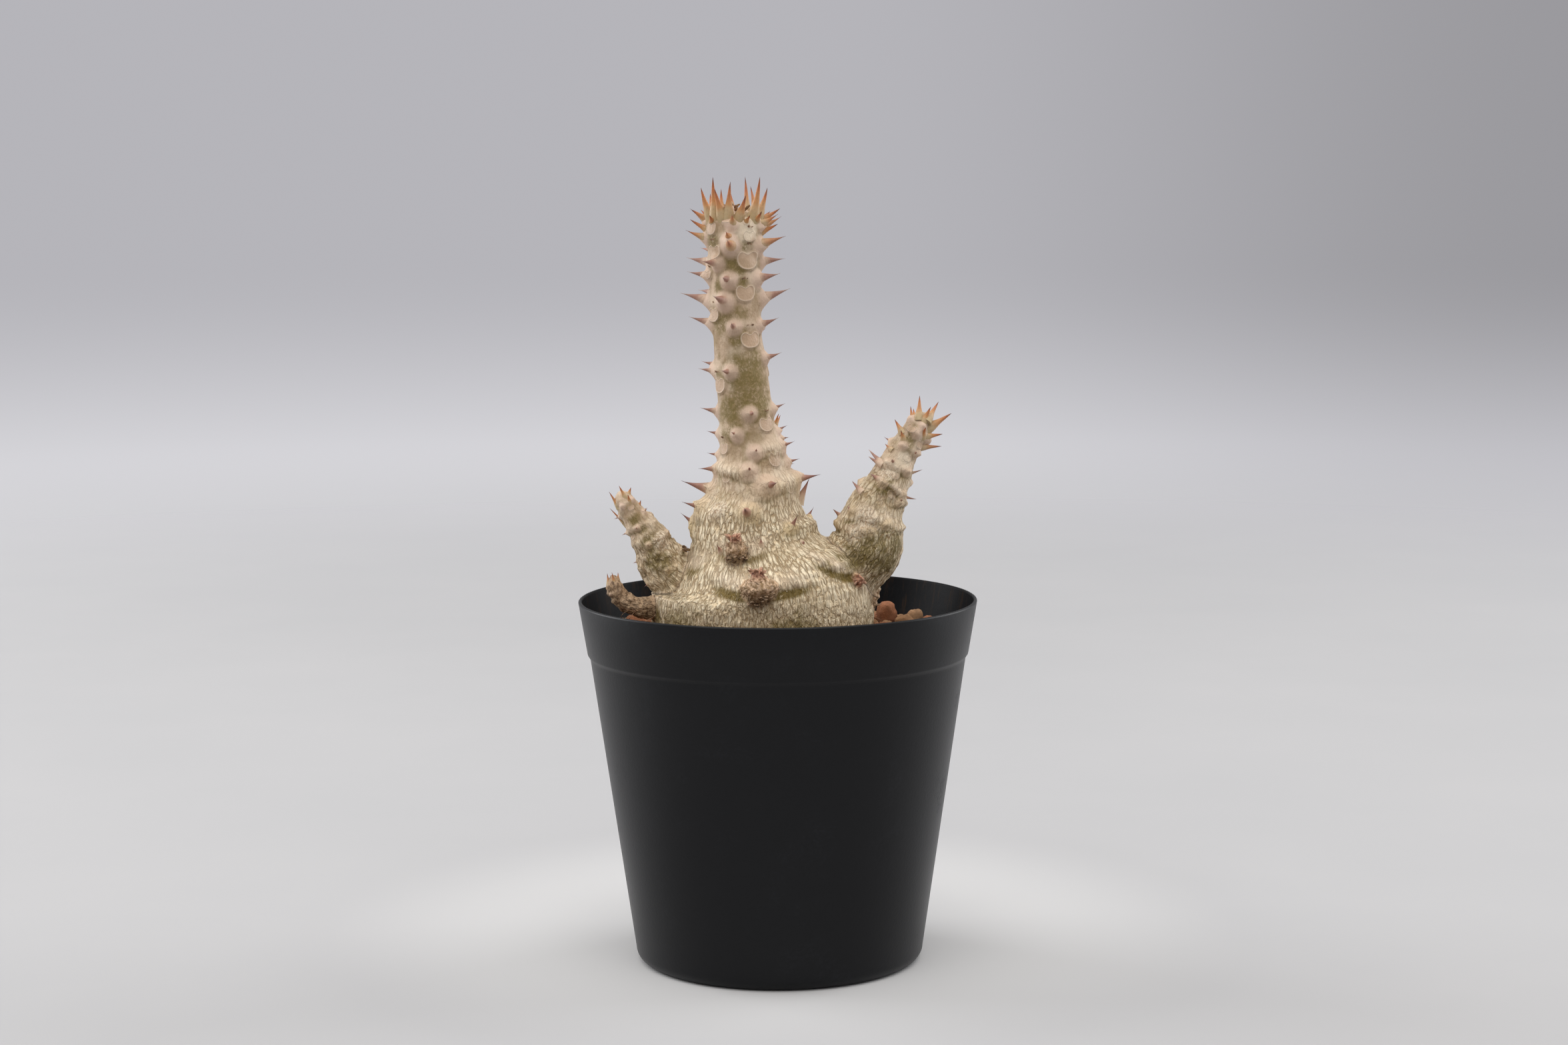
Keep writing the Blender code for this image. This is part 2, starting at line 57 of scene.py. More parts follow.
print("frame loaded:", sorted(frame["nodes"]))

mm = 0.001
scene = bpy.context.scene


# helpers for node trees

def setInputs(tree, node, inputs):
    # links each socket that is given, and sets any other value on the input itself
    for key, value in inputs.items():
        if isinstance(value, bpy.types.NodeSocket):
            tree.links.new(value, node.inputs[key])
        else:
            node.inputs[key].default_value = value


def addNode(tree, kind, inputs=None, **settings):
    node = tree.nodes.new(kind)
    for name, value in settings.items():
        setattr(node, name, value)
    setInputs(tree, node, inputs or {})
    return node


def put(tree, kind, inputs=None, output=0, **settings):
    # adds a node and gives one of its outputs
    return addNode(tree, kind, inputs, **settings).outputs[output]


def calc(tree, operation, *values):
    return put(tree, "ShaderNodeMath", dict(enumerate(values)), operation=operation)


def times(tree, *values):
    return calc(tree, "MULTIPLY", *values)


def plus(tree, *values):
    return calc(tree, "ADD", *values)


def without(tree, share):
    return calc(tree, "SUBTRACT", 1.0, share)


def vector(tree, operation, value, other):
    key = "Scale" if operation == "SCALE" else 1
    return put(tree, "ShaderNodeVectorMath", {0: value, key: other}, operation=operation)


def lengthOf(tree, value):
    return put(tree, "ShaderNodeVectorMath", {0: value}, "Value", operation="LENGTH")


def ramp(tree, value, low, high):
    # 0 at low, 1 at high, smooth between them
    return put(tree, "ShaderNodeMapRange", {"Value": value, "From Min": low, "From Max": high},
               interpolation_type="SMOOTHSTEP")


def mix(tree, share, first, second):
    return put(tree, "ShaderNodeMix", {0: share, 2: first, 3: second})


def blendColour(tree, share, *colours):
    first, second = [value if isinstance(value, bpy.types.NodeSocket) else (*value, 1.0) for value in colours]
    return put(tree, "ShaderNodeMix", {0: share, 6: first, 7: second}, 2, data_type="RGBA")


def palette(tree, value, stops, interpolation="LINEAR"):
    # a colour for each place from 0 to 1
    node = addNode(tree, "ShaderNodeValToRGB", {"Fac": value})
    elements = node.color_ramp.elements
    node.color_ramp.interpolation = interpolation
    while len(elements) < len(stops):
        elements.new(0.5)
    for element, (place, colour) in zip(elements, stops):
        element.position = place
        element.color = (*colour, 1.0)
    return node.outputs["Color"]


def attribute(tree, name, output="Fac"):
    return put(tree, "ShaderNodeAttribute", output=output, attribute_name=name)


def cloud(tree, coords, scale, detail=3.0, rough=0.6, output="Fac"):
    inputs = {"Vector": coords, "Scale": scale, "Detail": detail, "Roughness": rough}
    return put(tree, "ShaderNodeTexNoise", inputs, output)


def newMaterial(name):
    # the material, its tree and the place on the object in metres
    material = bpy.data.materials.new(name)
    material.use_nodes = True
    tree = material.node_tree
    return material, tree, put(tree, "ShaderNodeTexCoord", output="Object")


def setShader(tree, looks, relief=None, strength=1.0, depth=0.0):
    # sets the inputs of the shader, with a bump of this depth in metres where there is relief
    shader = tree.nodes["Principled BSDF"]
    setInputs(tree, shader, looks)
    if relief is not None:
        bump = put(tree, "ShaderNodeBump", {"Strength": strength, "Distance": depth, "Height": relief})
        tree.links.new(bump, shader.inputs["Normal"])


def growTree(name, sockets):
    # an empty Geometry Nodes tree with a Geometry socket and these named inputs
    tree = bpy.data.node_groups.new(name, "GeometryNodeTree")
    tree.interface.new_socket("Geometry", in_out="INPUT", socket_type="NodeSocketGeometry")
    tree.interface.new_socket("Geometry", in_out="OUTPUT", socket_type="NodeSocketGeometry")
    for label, kind, value in sockets:
        socket = tree.interface.new_socket(label, in_out="INPUT", socket_type="NodeSocket" + kind)
        if value is not None:
            socket.default_value = value
    return tree, addNode(tree, "NodeGroupInput").outputs


def endTree(tree, geometry, material):
    # the last nodes of a tree whose copies are real
    painted = put(tree, "GeometryNodeSetMaterial", {"Geometry": geometry, "Material": material})
    addNode(tree, "NodeGroupOutput", {0: painted})
    return tree


def useTree(thing, tree, values):
    modifier = thing.modifiers.new(tree.name, "NODES")
    modifier.node_group = tree
    names = {item.name: item.identifier for item in tree.interface.items_tree if item.in_out == "INPUT"}
    for label, value in values.items():
        modifier[names[label]] = value
    return settle(thing)


def named(tree, name, kind="FLOAT"):
    return put(tree, "GeometryNodeInputNamedAttribute", {"Name": name}, data_type=kind)


def store(tree, geometry, name, value):
    return put(tree, "GeometryNodeStoreNamedAttribute", {"Geometry": geometry, "Name": name, "Value": value},
               data_type="FLOAT", domain="POINT")


def shift(tree, geometry, offset):
    return put(tree, "GeometryNodeSetPosition", {"Geometry": geometry, "Offset": offset})


def standAt(tree, points, shape, turn, size):
    # one real copy of the shape at each point
    placed = put(tree, "GeometryNodeInstanceOnPoints", {"Points": points, "Instance": shape, "Rotation": turn,
                                                        "Scale": size})
    return put(tree, "GeometryNodeRealizeInstances", {0: placed})


# helpers for meshes and noise

def newObject(name, verts, edges=(), faces=()):
    mesh = bpy.data.meshes.new(name)
    mesh.from_pydata([tuple(v) for v in verts], [tuple(e) for e in edges], [tuple(f) for f in faces])
    thing = bpy.data.objects.new(name, mesh)
    scene.collection.objects.link(thing)
    return thing


def setAttribute(mesh, name, values, kind="FLOAT"):
    layer = mesh.attributes.get(name) or mesh.attributes.new(name, kind, "POINT")
    key = "vector" if kind == "FLOAT_VECTOR" else "value"
    layer.data.foreach_set(key, np.asarray(values, np.float32).ravel())


def settle(thing):
    # turns the result of an object's modifiers into its plain mesh
    graph = bpy.context.evaluated_depsgraph_get()
    mesh = bpy.data.meshes.new_from_object(thing.evaluated_get(graph), depsgraph=graph)
    thing.modifiers.clear()
    thing.data = mesh
    return thing


def coat(thing, material):
    thing.data.materials.clear()
    thing.data.materials.append(material)
    thing.data.shade_smooth()


def readPoints(mesh, key="co"):
    # the places of a mesh's points in metres, or their normals
    found = np.empty(len(mesh.vertices) * 3, np.float32)
    mesh.vertices.foreach_get(key, found)
    return found.reshape(-1, 3).astype(float)


def writePoints(mesh, points):
    mesh.vertices.foreach_set("co", points.astype(np.float32).ravel())
    mesh.update()


def faceOutward(thing):
    bm = bmesh.new()
    bm.from_mesh(thing.data)
    bmesh.ops.remove_doubles(bm, verts=bm.verts, dist=1e-6)
    bmesh.ops.recalc_face_normals(bm, faces=bm.faces)
    bm.to_mesh(thing.data)
    bm.free()
    return thing


def latticeNoise(points, scale, seed):
    # smooth value noise from -1 to 1, from a hash of each cell's corners
    primes = np.array([73856093, 19349663, 83492791])
    spots = np.asarray(points, float) * scale
    cell = np.floor(spots).astype(np.int64)
    share = spots - cell
    share = share * share * (3 - 2 * share)
    total = np.zeros(len(spots))
    for corner in np.ndindex(2, 2, 2):
        key = (cell + corner) @ primes + seed * 668265263
        key = (key ^ (key >> 13)) * 1274126177
        value = ((key ^ (key >> 16)) & 65535) / 32767.5 - 1
        total += value * np.prod(np.where(corner, share, 1 - share), axis=1)
    return total


def smoothstep(low, high, value):
    share = np.clip((value - low) / (high - low), 0, 1)
    return share * share * (3 - 2 * share)


def wrap(angle):
    # the same angle from -180 to 180 degrees
    return (angle + 180.0) % 360.0 - 180.0


def aimed(angle):
    # flat direction at this many radians from the X axis
    return Vector((math.cos(angle), math.sin(angle), 0.0))


# camera, lights, background and floor, in metres and degrees

stageSizes = {
    "cameraAt": (0.0015, -0.6813, 0.1796),
    "tilt": 83.3,
    "roll": -0.3,
    "lens": 70.0,
    "lights": (  # name, place, target, size, power and colour
        ("overhead", (-0.04, -0.40, 1.35), (0, 0, 0.05), 2.2, 27.5, (1.0, 0.98, 0.95)),
        ("leftPanel", (-1.15, 0.45, 0.50), (0, 0, 0.08), 0.9, 11.0, (0.97, 0.98, 1.0)),
        ("rightPanel", (1.15, 0.50, 0.50), (0, 0, 0.08), 0.9, 9.0, (0.97, 0.98, 1.0))),
    "lowSky": ((0.74, 0.735, 0.765), (0.61, 0.605, 0.64)),
    "lowSkyFade": (0.0, 0.25),
    "highSky": ((0.465, 0.46, 0.49), (0.325, 0.32, 0.34)),
    "highSkyFade": (0.0, 0.26),
    "skyline": (-0.125, -0.03),
    "skyLight": (0.385, 0.38, 0.385),
    "floorRadius": 1.6,
    "floorSteps": 96,
    "floorFade": (0.45, 1.35),
    "floorTones": ((0.420, 0.421, 0.430), (0.460, 0.457, 0.463)),
    "floorCloud": (9.0, 4.0, 0.55),
    # a painted pool of light on the floor round the pot's foot: its colour, its middle and its edge
    "paintedLight": (0.575, 0.572, 0.572),
    "paintedLightShift": (0.0, -0.03, 0.0),
    "paintedLightEdge": (0.115, 0.050),
}


def makeCamera():
    p = stageSizes
    camera = bpy.data.cameras.new("camera")
    camera.lens = p["lens"]
    camera.clip_start = 0.02
    holder = bpy.data.objects.new("camera", camera)
    scene.collection.objects.link(holder)
    holder.matrix_world = (Matrix.Translation(p["cameraAt"])
                           @ Matrix.Rotation(math.radians(p["tilt"]), 4, "X")
                           @ Matrix.Rotation(math.radians(p["roll"]), 4, "Z"))
    scene.camera = holder


def makeLights():
    for name, place, target, size, power, colour in stageSizes["lights"]:
        lamp = bpy.data.lights.new(name, "AREA")
        lamp.size = size
        lamp.energy = power
        lamp.color = colour
        light = bpy.data.objects.new(name, lamp)
        scene.collection.objects.link(light)
        light.location = place
        light.rotation_euler = (Vector(target) - Vector(place)).to_track_quat("-Z", "Y").to_euler()


def makeSky():
    # the pale background that the camera sees, and a plain grey one that lights the object
    p = stageSizes
    world = bpy.data.worlds.new("studio")
    world.use_nodes = True
    scene.world = world
    tree = world.node_tree
    heading = put(tree, "ShaderNodeTexCoord", output="Generated")
    height = put(tree, "ShaderNodeSeparateXYZ", {0: heading}, "Z")
    across = put(tree, "ShaderNodeSeparateXYZ", {0: heading}, "X")
    low = blendColour(tree, ramp(tree, across, *p["lowSkyFade"]), *p["lowSky"])
    high = blendColour(tree, ramp(tree, across, *p["highSkyFade"]), *p["highSky"])
    sky = blendColour(tree, ramp(tree, height, *p["skyline"]), low, high)
    seen = put(tree, "ShaderNodeLightPath", output="Is Camera Ray")
    setInputs(tree, tree.nodes["Background"], {"Color": blendColour(tree, seen, p["skyLight"], sky)})


def makeFloor():
    p = stageSizes
    turns = [2 * math.pi * i / p["floorSteps"] for i in range(p["floorSteps"])]
    floor = newObject("floor", [aimed(turn) * p["floorRadius"] for turn in turns], faces=[range(len(turns))])
    material, tree, spot = newMaterial("paleFloor")
    plain = blendColour(tree, cloud(tree, spot, *p["floorCloud"]), *p["floorTones"])
    # painted light: the floor is made lighter in a pool round the pot's foot, where the pot's own shadow
    # falls
    close = lengthOf(tree, vector(tree, "ADD", spot, p["paintedLightShift"]))
    setShader(tree, {"Base Color": blendColour(tree, ramp(tree, close, *p["paintedLightEdge"]), plain, p["paintedLight"]),
                     "Roughness": 0.75, "Specular IOR Level": 0.2,
                     "Alpha": without(tree, ramp(tree, lengthOf(tree, spot), *p["floorFade"]))})
    floor.data.materials.append(material)


def makeStage():
    makeCamera()
    makeLights()
    makeSky()
    makeFloor()
    scene.view_settings.view_transform = "Standard"
    print("stage ready")


makeStage()


# the pot: thin black plastic with a rim band, a foot ring and drain holes, in millimetres

potSizes = {
    "height": 82.4,
    "rimRadius": 45.0,
    "bandFootHeight": 70.2,
    "bandFootRadius": 43.04,
    "bandStep": 0.5,
    "bandEdge": ((0.05, 0.35), (-0.04, 0.08), (-0.16, -0.06)),  # radius and height from the band's foot
    "stepDrop": 0.9,
    "stepEdge": ((0.12, 0.25), (0.02, 0.05), (-0.05, -0.5)),  # the same from the step's foot
    "baseRadius": 32.3,
    "baseFillet": 3.0,
    "wall": 0.85,
    "footRingWidth": 3.3,
    "baseRise": 1.4,
    "baseSlope": 1.2,
    "drainCentre": 4.5,
    "drainRadius": 3.0,
    "drainCircle": 16.0,
    "drains": 6,
    "drillSides": 28,
    "sharpAngle": 40,
    "steps": 160,
    "warp": 0.10,
}
potTones = {"plain": (0.0060, 0.0064, 0.0075), "dust": (0.013, 0.014, 0.017), "dirtAndPaintedShade": (0.026, 0.016, 0.010)}


def potMaterial():
    material, tree, spot = newMaterial("potPlastic")
    inside = attribute(tree, "inside")
    streaks = cloud(tree, vector(tree, "MULTIPLY", spot, (700.0, 700.0, 60.0)), 1.0, 4.0)
    fine = cloud(tree, spot, 1400.0)
    dust = times(tree, ramp(tree, cloud(tree, spot, 90.0, 5.0), 0.50, 0.85), ramp(tree, fine, 0.35, 0.75))
    dirtAndPaintedShade = times(tree, inside, ramp(tree, streaks, 0.50, 0.78))
    plain = blendColour(tree, dust, potTones["plain"], potTones["dust"])
    rough = calc(tree, "MAXIMUM", plus(tree, times(tree, dust, 0.22), 0.36), times(tree, dirtAndPaintedShade, 0.7))
    gloss = calc(tree, "SUBTRACT", 0.5, times(tree, inside, 0.42))
    setShader(tree, {"Base Color": blendColour(tree, dirtAndPaintedShade, plain, potTones["dirtAndPaintedShade"]), "Roughness": rough,
                     "Specular IOR Level": gloss, "IOR": 1.28}, relief=fine, strength=0.6, depth=0.00004)
    return material


def arcPoints(x, z, radius, start, end, count):
    return [(x + radius * math.cos(math.radians(a)), z + radius * math.sin(math.radians(a)))
            for a in np.linspace(start, end, count)]


def potProfile():
    # radius and height from the inner wall over the lip, down the outside and back up inside
    p = potSizes
    wall, fillet, bandR, bandZ = p["wall"], p["baseFillet"], p["bandFootRadius"], p["bandFootHeight"]
    slope = (bandR - p["bandStep"] - p["baseRadius"]) / bandZ
    stepZ = bandZ - p["stepDrop"]
    stepR = p["baseRadius"] + slope * stepZ
    foot = p["baseRadius"] + slope * fillet - fillet
    ringIn = foot - p["footRingWidth"]
    baseR, baseZ = ringIn - p["baseSlope"], p["baseRise"]
    profile = arcPoints(p["rimRadius"] - wall / 2, p["height"] - wall / 2, wall / 2, 180, 0, 9)
    profile += [(bandR + out, bandZ + up) for out, up in p["bandEdge"]]
    profile += [(stepR + out, stepZ + up) for out, up in p["stepEdge"]]
    profile += arcPoints(foot, fillet, fillet, 0, -90, 9)
    profile += [(ringIn, 0.0), (baseR, baseZ), (p["drainCentre"], baseZ), (p["drainCentre"], baseZ + wall),
                (baseR, baseZ + wall), (ringIn, wall)]
    profile += arcPoints(foot, fillet, fillet - wall, -90, 0, 6)
    return profile + [(stepR - wall, stepZ), (bandR - wall, bandZ)]


def turnProfile(name, profile, steps, warp=0.0):
    # a closed profile turned round the Z axis, pressed a little out of round by the warp
    angles = np.arange(steps) * 2 * math.pi / steps
    radii, heights = np.array(profile).T
    pinch = 1 - warp / potSizes["rimRadius"] * (1 + np.cos(2 * angles + 0.7)) / 2
    verts = np.stack([np.outer(np.cos(angles) * pinch, radii), np.outer(np.sin(angles) * pinch, radii),
                      np.outer(np.ones(steps), heights)], 2).reshape(-1, 3) * mm
    count = len(profile)
    faces = []
    for i in range(steps):
        here, there = i * count, (i + 1) % steps * count
        faces += [(here + j, there + j, there + (j + 1) % count, here + (j + 1) % count)
                  for j in range(count)]
    return newObject(name, verts, faces=faces)


def makeDrill(angle):
    p = potSizes
    place = aimed(angle) * p["drainCircle"] * mm + Vector((0, 0, p["baseRise"] * mm))
    bm = bmesh.new()
    bmesh.ops.create_cone(bm, cap_ends=True, segments=p["drillSides"], radius1=p["drainRadius"] * mm,
                          radius2=p["drainRadius"] * mm, depth=4 * p["wall"] * mm,
                          matrix=Matrix.Translation(place))
    drill = newObject("drill", [])
    bm.to_mesh(drill.data)
    bm.free()
    return drill


def makePot():
    p = potSizes
    pot = faceOutward(turnProfile("nurseryPot", potProfile(), p["steps"], p["warp"]))
    drills = bpy.data.collections.new("drills")
    for i in range(p["drains"]):
        drill = makeDrill(2 * math.pi * (i + 0.5) / p["drains"])
        scene.collection.objects.unlink(drill)
        drills.objects.link(drill)
    cut = pot.modifiers.new("drains", "BOOLEAN")
    cut.operation = "DIFFERENCE"
    cut.operand_type = "COLLECTION"
    cut.collection = drills
    settle(pot)
    for drill in list(drills.objects):
        bpy.data.objects.remove(drill)
    coat(pot, potMaterial())
    pot.data.set_sharp_from_angle(angle=math.radians(p["sharpAngle"]))
    spots, normals = readPoints(pot.data)[:, :2], readPoints(pot.data, "normal")[:, :2]
    inward = (spots * normals).sum(1) / np.maximum(np.linalg.norm(spots, axis=1), 1e-6)
    setAttribute(pot.data, "inside", smoothstep(0.0, -0.5, inward))
    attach(pot, "root")
    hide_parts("pot")
    print("pot ready")


makePot()


# the potting mix: a bed with small crumbs and broken lumps of baked clay and pumice on it, in millimetres

soilSizes = {
    "top": 73.6,
    "floor": (25.24, 2.6),  # radius and height of the bed's foot
    "shoulder": (31.2, 5.0),
    "wallGap": 0.5,
    "grainGap": 0.3,
    "steps": 120,
    "rings": 14,
    "innerRing": 24.0,
    "dip": 0.6,
    "bumps": ((900, 5, 0.35), (350, 6, 0.30)),  # scale a metre, seed and height
    "trunkAt": (-3.5, 0.0),
    "trunkRadius": 24.6,
    "tries": 9000,
    "shapeSeed": 3,
    "clayLumps": {"pitch": 3.3, "size": (1.5, 2.35), "lift": 0.2, "base": 0.0, "seed": 4, "faces": 3,
                  "rough": 0.9},
    "mixCrumbs": {"pitch": 1.75, "size": (0.65, 1.15), "lift": 0.55, "base": 0.5, "seed": 9, "faces": 2,
                  "rough": 0.6},
    "lumps": (  # x, y, z, radius and place in the palette
        (25.2, 19.0, 76.0, 3.3, 0.12), (29.0, 12.0, 75.0, 2.5, 0.55), (31.8, 18.5, 75.0, 2.3, 0.62),
        (-33.0, 14.0, 74.8, 2.4, 0.16), (30.0, -6.0, 74.8, 2.3, 0.10), (-6.0, 33.0, 75.0, 2.6, 0.58)),
}
soilTones = ((0.0, (0.37, 0.16, 0.085)), (0.22, (0.42, 0.20, 0.115)), (0.42, (0.34, 0.19, 0.10)),
             (0.60, (0.42, 0.25, 0.14)), (0.74, (0.50, 0.42, 0.31)), (0.84, (0.075, 0.048, 0.032)))
soilShade = (0.045, 0.026, 0.016)
bedTone = 0.9


def soilMaterial():
    material, tree, spot = newMaterial("pottingMix")
    grain = palette(tree, attribute(tree, "tint"), soilTones, "CONSTANT")
    blotch = cloud(tree, spot, 600.0, 4.0, 0.65)
    shade = blendColour(tree, ramp(tree, blotch, 0.35, 0.7), soilShade, grain)
    relief = plus(tree, blotch, times(tree, cloud(tree, spot, 3200.0), 0.6))
    setShader(tree, {"Base Color": blendColour(tree, 0.62, shade, grain), "Roughness": 0.95,
                     "Specular IOR Level": 0.15}, relief, strength=0.9, depth=0.00025)
    return material


def grainTree():
    # balls turned, squashed and dented at random
    tree, given = growTree("brokenGrains", (("Faces", "Int", 2), ("Roughness", "Float", 0.3),
                                            ("Seed", "Int", 1), ("Material", "Material", None)))
    lump = put(tree, "GeometryNodeMeshIcoSphere", {"Radius": 1.0, "Subdivisions": given["Faces"]})
    ranges = ((0, 0, 0), (6.28, 6.28, 6.28)), ((0.72, 0.75, 0.62), (1.1, 1.12, 1.0))
    turn, squash = [put(tree, "FunctionNodeRandomValue", {0: low, 1: high, "Seed": given["Seed"]},
                        data_type="FLOAT_VECTOR") for low, high in ranges]
    size = named(tree, "grainSize")
    loose = standAt(tree, given["Geometry"], lump, turn, vector(tree, "SCALE", squash, size))
    noise = cloud(tree, put(tree, "GeometryNodeInputPosition"), 420.0, 2.0, 0.7)
    dent = times(tree, calc(tree, "SUBTRACT", noise, 0.56), times(tree, given["Roughness"], size))
    offset = vector(tree, "SCALE", put(tree, "GeometryNodeInputNormal"), dent)
    return endTree(tree, shift(tree, loose, offset), given["Material"])


def wallRadius(height):
    # inner radius of the pot at this height
    p = potSizes
    rise = (height - p["bandFootHeight"]) / (p["height"] - p["bandFootHeight"])
    return p["bandFootRadius"] + (p["rimRadius"] - p["bandFootRadius"]) * rise - p["wall"]


def scatter(kind, taken):
    # grains at random places, clear of the wall, the trunk, each other and the ones already there
    p = soilSizes
    draw = random.Random(kind["seed"])
    found = []
    trunkX, trunkY = p["trunkAt"]
    wall = wallRadius(p["top"]) - p["grainGap"]
    spacing = kind["pitch"] * 0.5 / np.mean(kind["size"])
    for _ in range(p["tries"]):
        radius = draw.uniform(*kind["size"])
        x, y = draw.uniform(-wall, wall), draw.uniform(-wall, wall)
        if math.hypot(x, y) + radius * 1.1 > wall or math.hypot(x - trunkX, y - trunkY) < p["trunkRadius"]:
            continue
        if any((x - a) ** 2 + (y - b) ** 2 < (spacing * (radius + r)) ** 2 for a, b, _, r, _ in found):
            continue
        if any((x - a) ** 2 + (y - b) ** 2 < (r + radius * 0.4) ** 2 for a, b, _, r, _ in taken):
            continue
        z = p["top"] + radius * draw.uniform(-0.1, kind["lift"]) + kind["base"]
        found.append((x, y, z, radius, draw.random()))
    return found


def makeGrains(name, grains, tree, material):
    kind = soilSizes[name]
    spots = np.array(grains)
    thing = newObject(name, spots[:, :3] * mm)
    setAttribute(thing.data, "grainSize", spots[:, 3] * mm)
    setAttribute(thing.data, "tint", spots[:, 4])
    useTree(thing, tree, {"Faces": kind["faces"], "Roughness": kind["rough"],
                          "Seed": soilSizes["shapeSeed"], "Material": material})
    thing.data.shade_smooth()
    return thing


def makeBed(material):
    p = soilSizes
    top, bandFoot = p["top"], potSizes["bandFootHeight"]
    profile = [(0.0, p["floor"][1]), p["floor"], p["shoulder"]]
    profile += [(wallRadius(height) - p["wallGap"], height) for height in (bandFoot, top)]
    profile += [(radius, top) for radius in np.linspace(wallRadius(top) - 2.0, p["innerRing"], p["rings"])]
    bed = faceOutward(turnProfile("mixBed", profile + [(0.0, top - p["dip"])], p["steps"]))
    spots = readPoints(bed.data)
    lifted = spots[:, 2] > (top - 0.1) * mm
    spots[lifted, 2] += mm * sum(latticeNoise(spots[lifted], scale, seed) * size
                                 for scale, seed, size in p["bumps"])
    writePoints(bed.data, spots)
    setAttribute(bed.data, "tint", np.full(len(spots), bedTone))
    coat(bed, material)
    return bed


def makeSoil():
    material, tree = soilMaterial(), grainTree()
    coarse = [*soilSizes["lumps"], *scatter(soilSizes["clayLumps"], soilSizes["lumps"])]
    fine = scatter(soilSizes["mixCrumbs"], coarse)
    lumps = makeGrains("clayLumps", coarse, tree, material)
    crumbs = makeGrains("mixCrumbs", fine, tree, material)
    bed = makeBed(material)
    for thing in (bed, lumps, crumbs):
        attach(thing, "root")
    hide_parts("soil")
    print("potting mix ready:", len(coarse), "lumps,", len(fine), "crumbs")


makeSoil()


# the plant: x, y, z and radius in millimetres at points up each stem, which all other forms follow

# size is set against the trunk's scars, first and turn place a branch's first scar, spines gives their
# lengths from half way up, and scars gives x and z of the ones that face the camera
stems = {
    "trunk": {
        "axis": ((-3.5, 0, 55, 9.2), (-3.5, 0, 63, 16.0), (-3.5, 0, 70, 22.0), (-3.5, 0, 76, 24.6),
                 (-3.5, 0, 81, 24.8), (-3.4, 0, 84.8, 24.2), (-3.7, 0, 88, 22.0), (-4.5, 0, 91.5, 18.2),
                 (-5.1, 0, 95, 14.8), (-5.5, 0, 99, 13.2), (-5.4, 0, 103, 11.2), (-5.3, 0, 107, 9.5),
                 (-5.6, 0, 111, 8.1), (-5.8, 0, 115, 7.1), (-6.4, 0, 119, 6.4), (-6.9, 0, 124, 6.0),
                 (-7.5, 0, 130, 5.9), (-8.1, 0, 136, 5.7), (-8.7, 0, 142, 5.4), (-9.0, 0, 150, 5.6),
                 (-9.2, 0, 158, 5.7), (-9.3, 0, 162, 6.0), (-9.3, 0, 165.6, 6.4), (-9.2, 0, 167.5, 6.1),
                 (-9.2, 0, 168.2, 4.6)),
        "size": 1.0,
    },
    "right": {
        "axis": ((9.0, -0.4, 83.2, 8.0), (15.4, -0.7, 88.4, 7.7), (19.8, -0.8, 94.1, 8.2),
                 (20.9, -0.6, 99, 7.2), (22.1, -0.6, 102.8, 6.3), (23.8, -0.6, 106.6, 5.0),
                 (25.8, -0.6, 110.4, 4.3), (27.7, -0.6, 114.6, 3.6), (29.6, -0.6, 117.8, 3.1),
                 (31.3, -0.6, 120.7, 2.8), (32.6, -0.6, 122.8, 2.1), (33.0, -0.6, 123.6, 1.2)),
        "size": 0.72, "first": 18.6, "turn": 20.0, "spines": (3.0, 3.4, 5.4),
        "scars": ((30.3, 121.3), (32.0, 117.7), (29.2, 114.7), (26.6, 111.4), (25.8, 107.0), (28.9, 103.4),
                  (20.6, 101.6), (27.0, 98.4), (16.0, 98.2)),
    },
    "left": {
        "axis": ((-15, 0, 81, 6.2), (-21.5, -0.6, 85.5, 6.1), (-25.4, -0.8, 90, 5.6), (-27.6, -1.0, 94, 4.8),
                 (-29.6, -1.0, 97.3, 4.0), (-31.5, -1.0, 100.3, 3.2), (-33.3, -1.0, 103, 2.6),
                 (-34.7, -1.0, 105.2, 2.0), (-35.2, -1.0, 106.0, 1.3)),
        "size": 0.50, "first": 13.0, "turn": -30.0, "spines": (2.4, 3.0, 5.6),
    },
    "rear": {
        "axis": ((-2, 8, 86, 7.0), (-1.4, 14, 92.5, 6.6), (-1.0, 18.2, 98, 5.6), (-0.9, 20.6, 103, 4.5),
                 (-1.1, 22.2, 108, 3.8), (-1.4, 23, 112.5, 3.3), (-1.8, 23.2, 116.5, 2.8),
                 (-2.1, 23.2, 119.3, 2.1), (-2.2, 23.2, 120.2, 1.3)),
        "size": 0.66, "first": 17.0, "turn": 60.0, "spines": (2.6, 3.2, 4.4),
    },
    "low": {
        "axis": ((-22, -4, 81.2, 3.0), (-28, -6, 81.2, 2.5), (-32, -6.8, 81.8, 2.2), (-35, -7, 83.6, 2.0),
                 (-36.4, -7, 86.2, 1.9), (-36.8, -7, 88, 1.2)),
        "size": 0.36, "first": 15.0, "turn": 0.0, "spines": (2.0, 2.6, 4.0),
    },
}
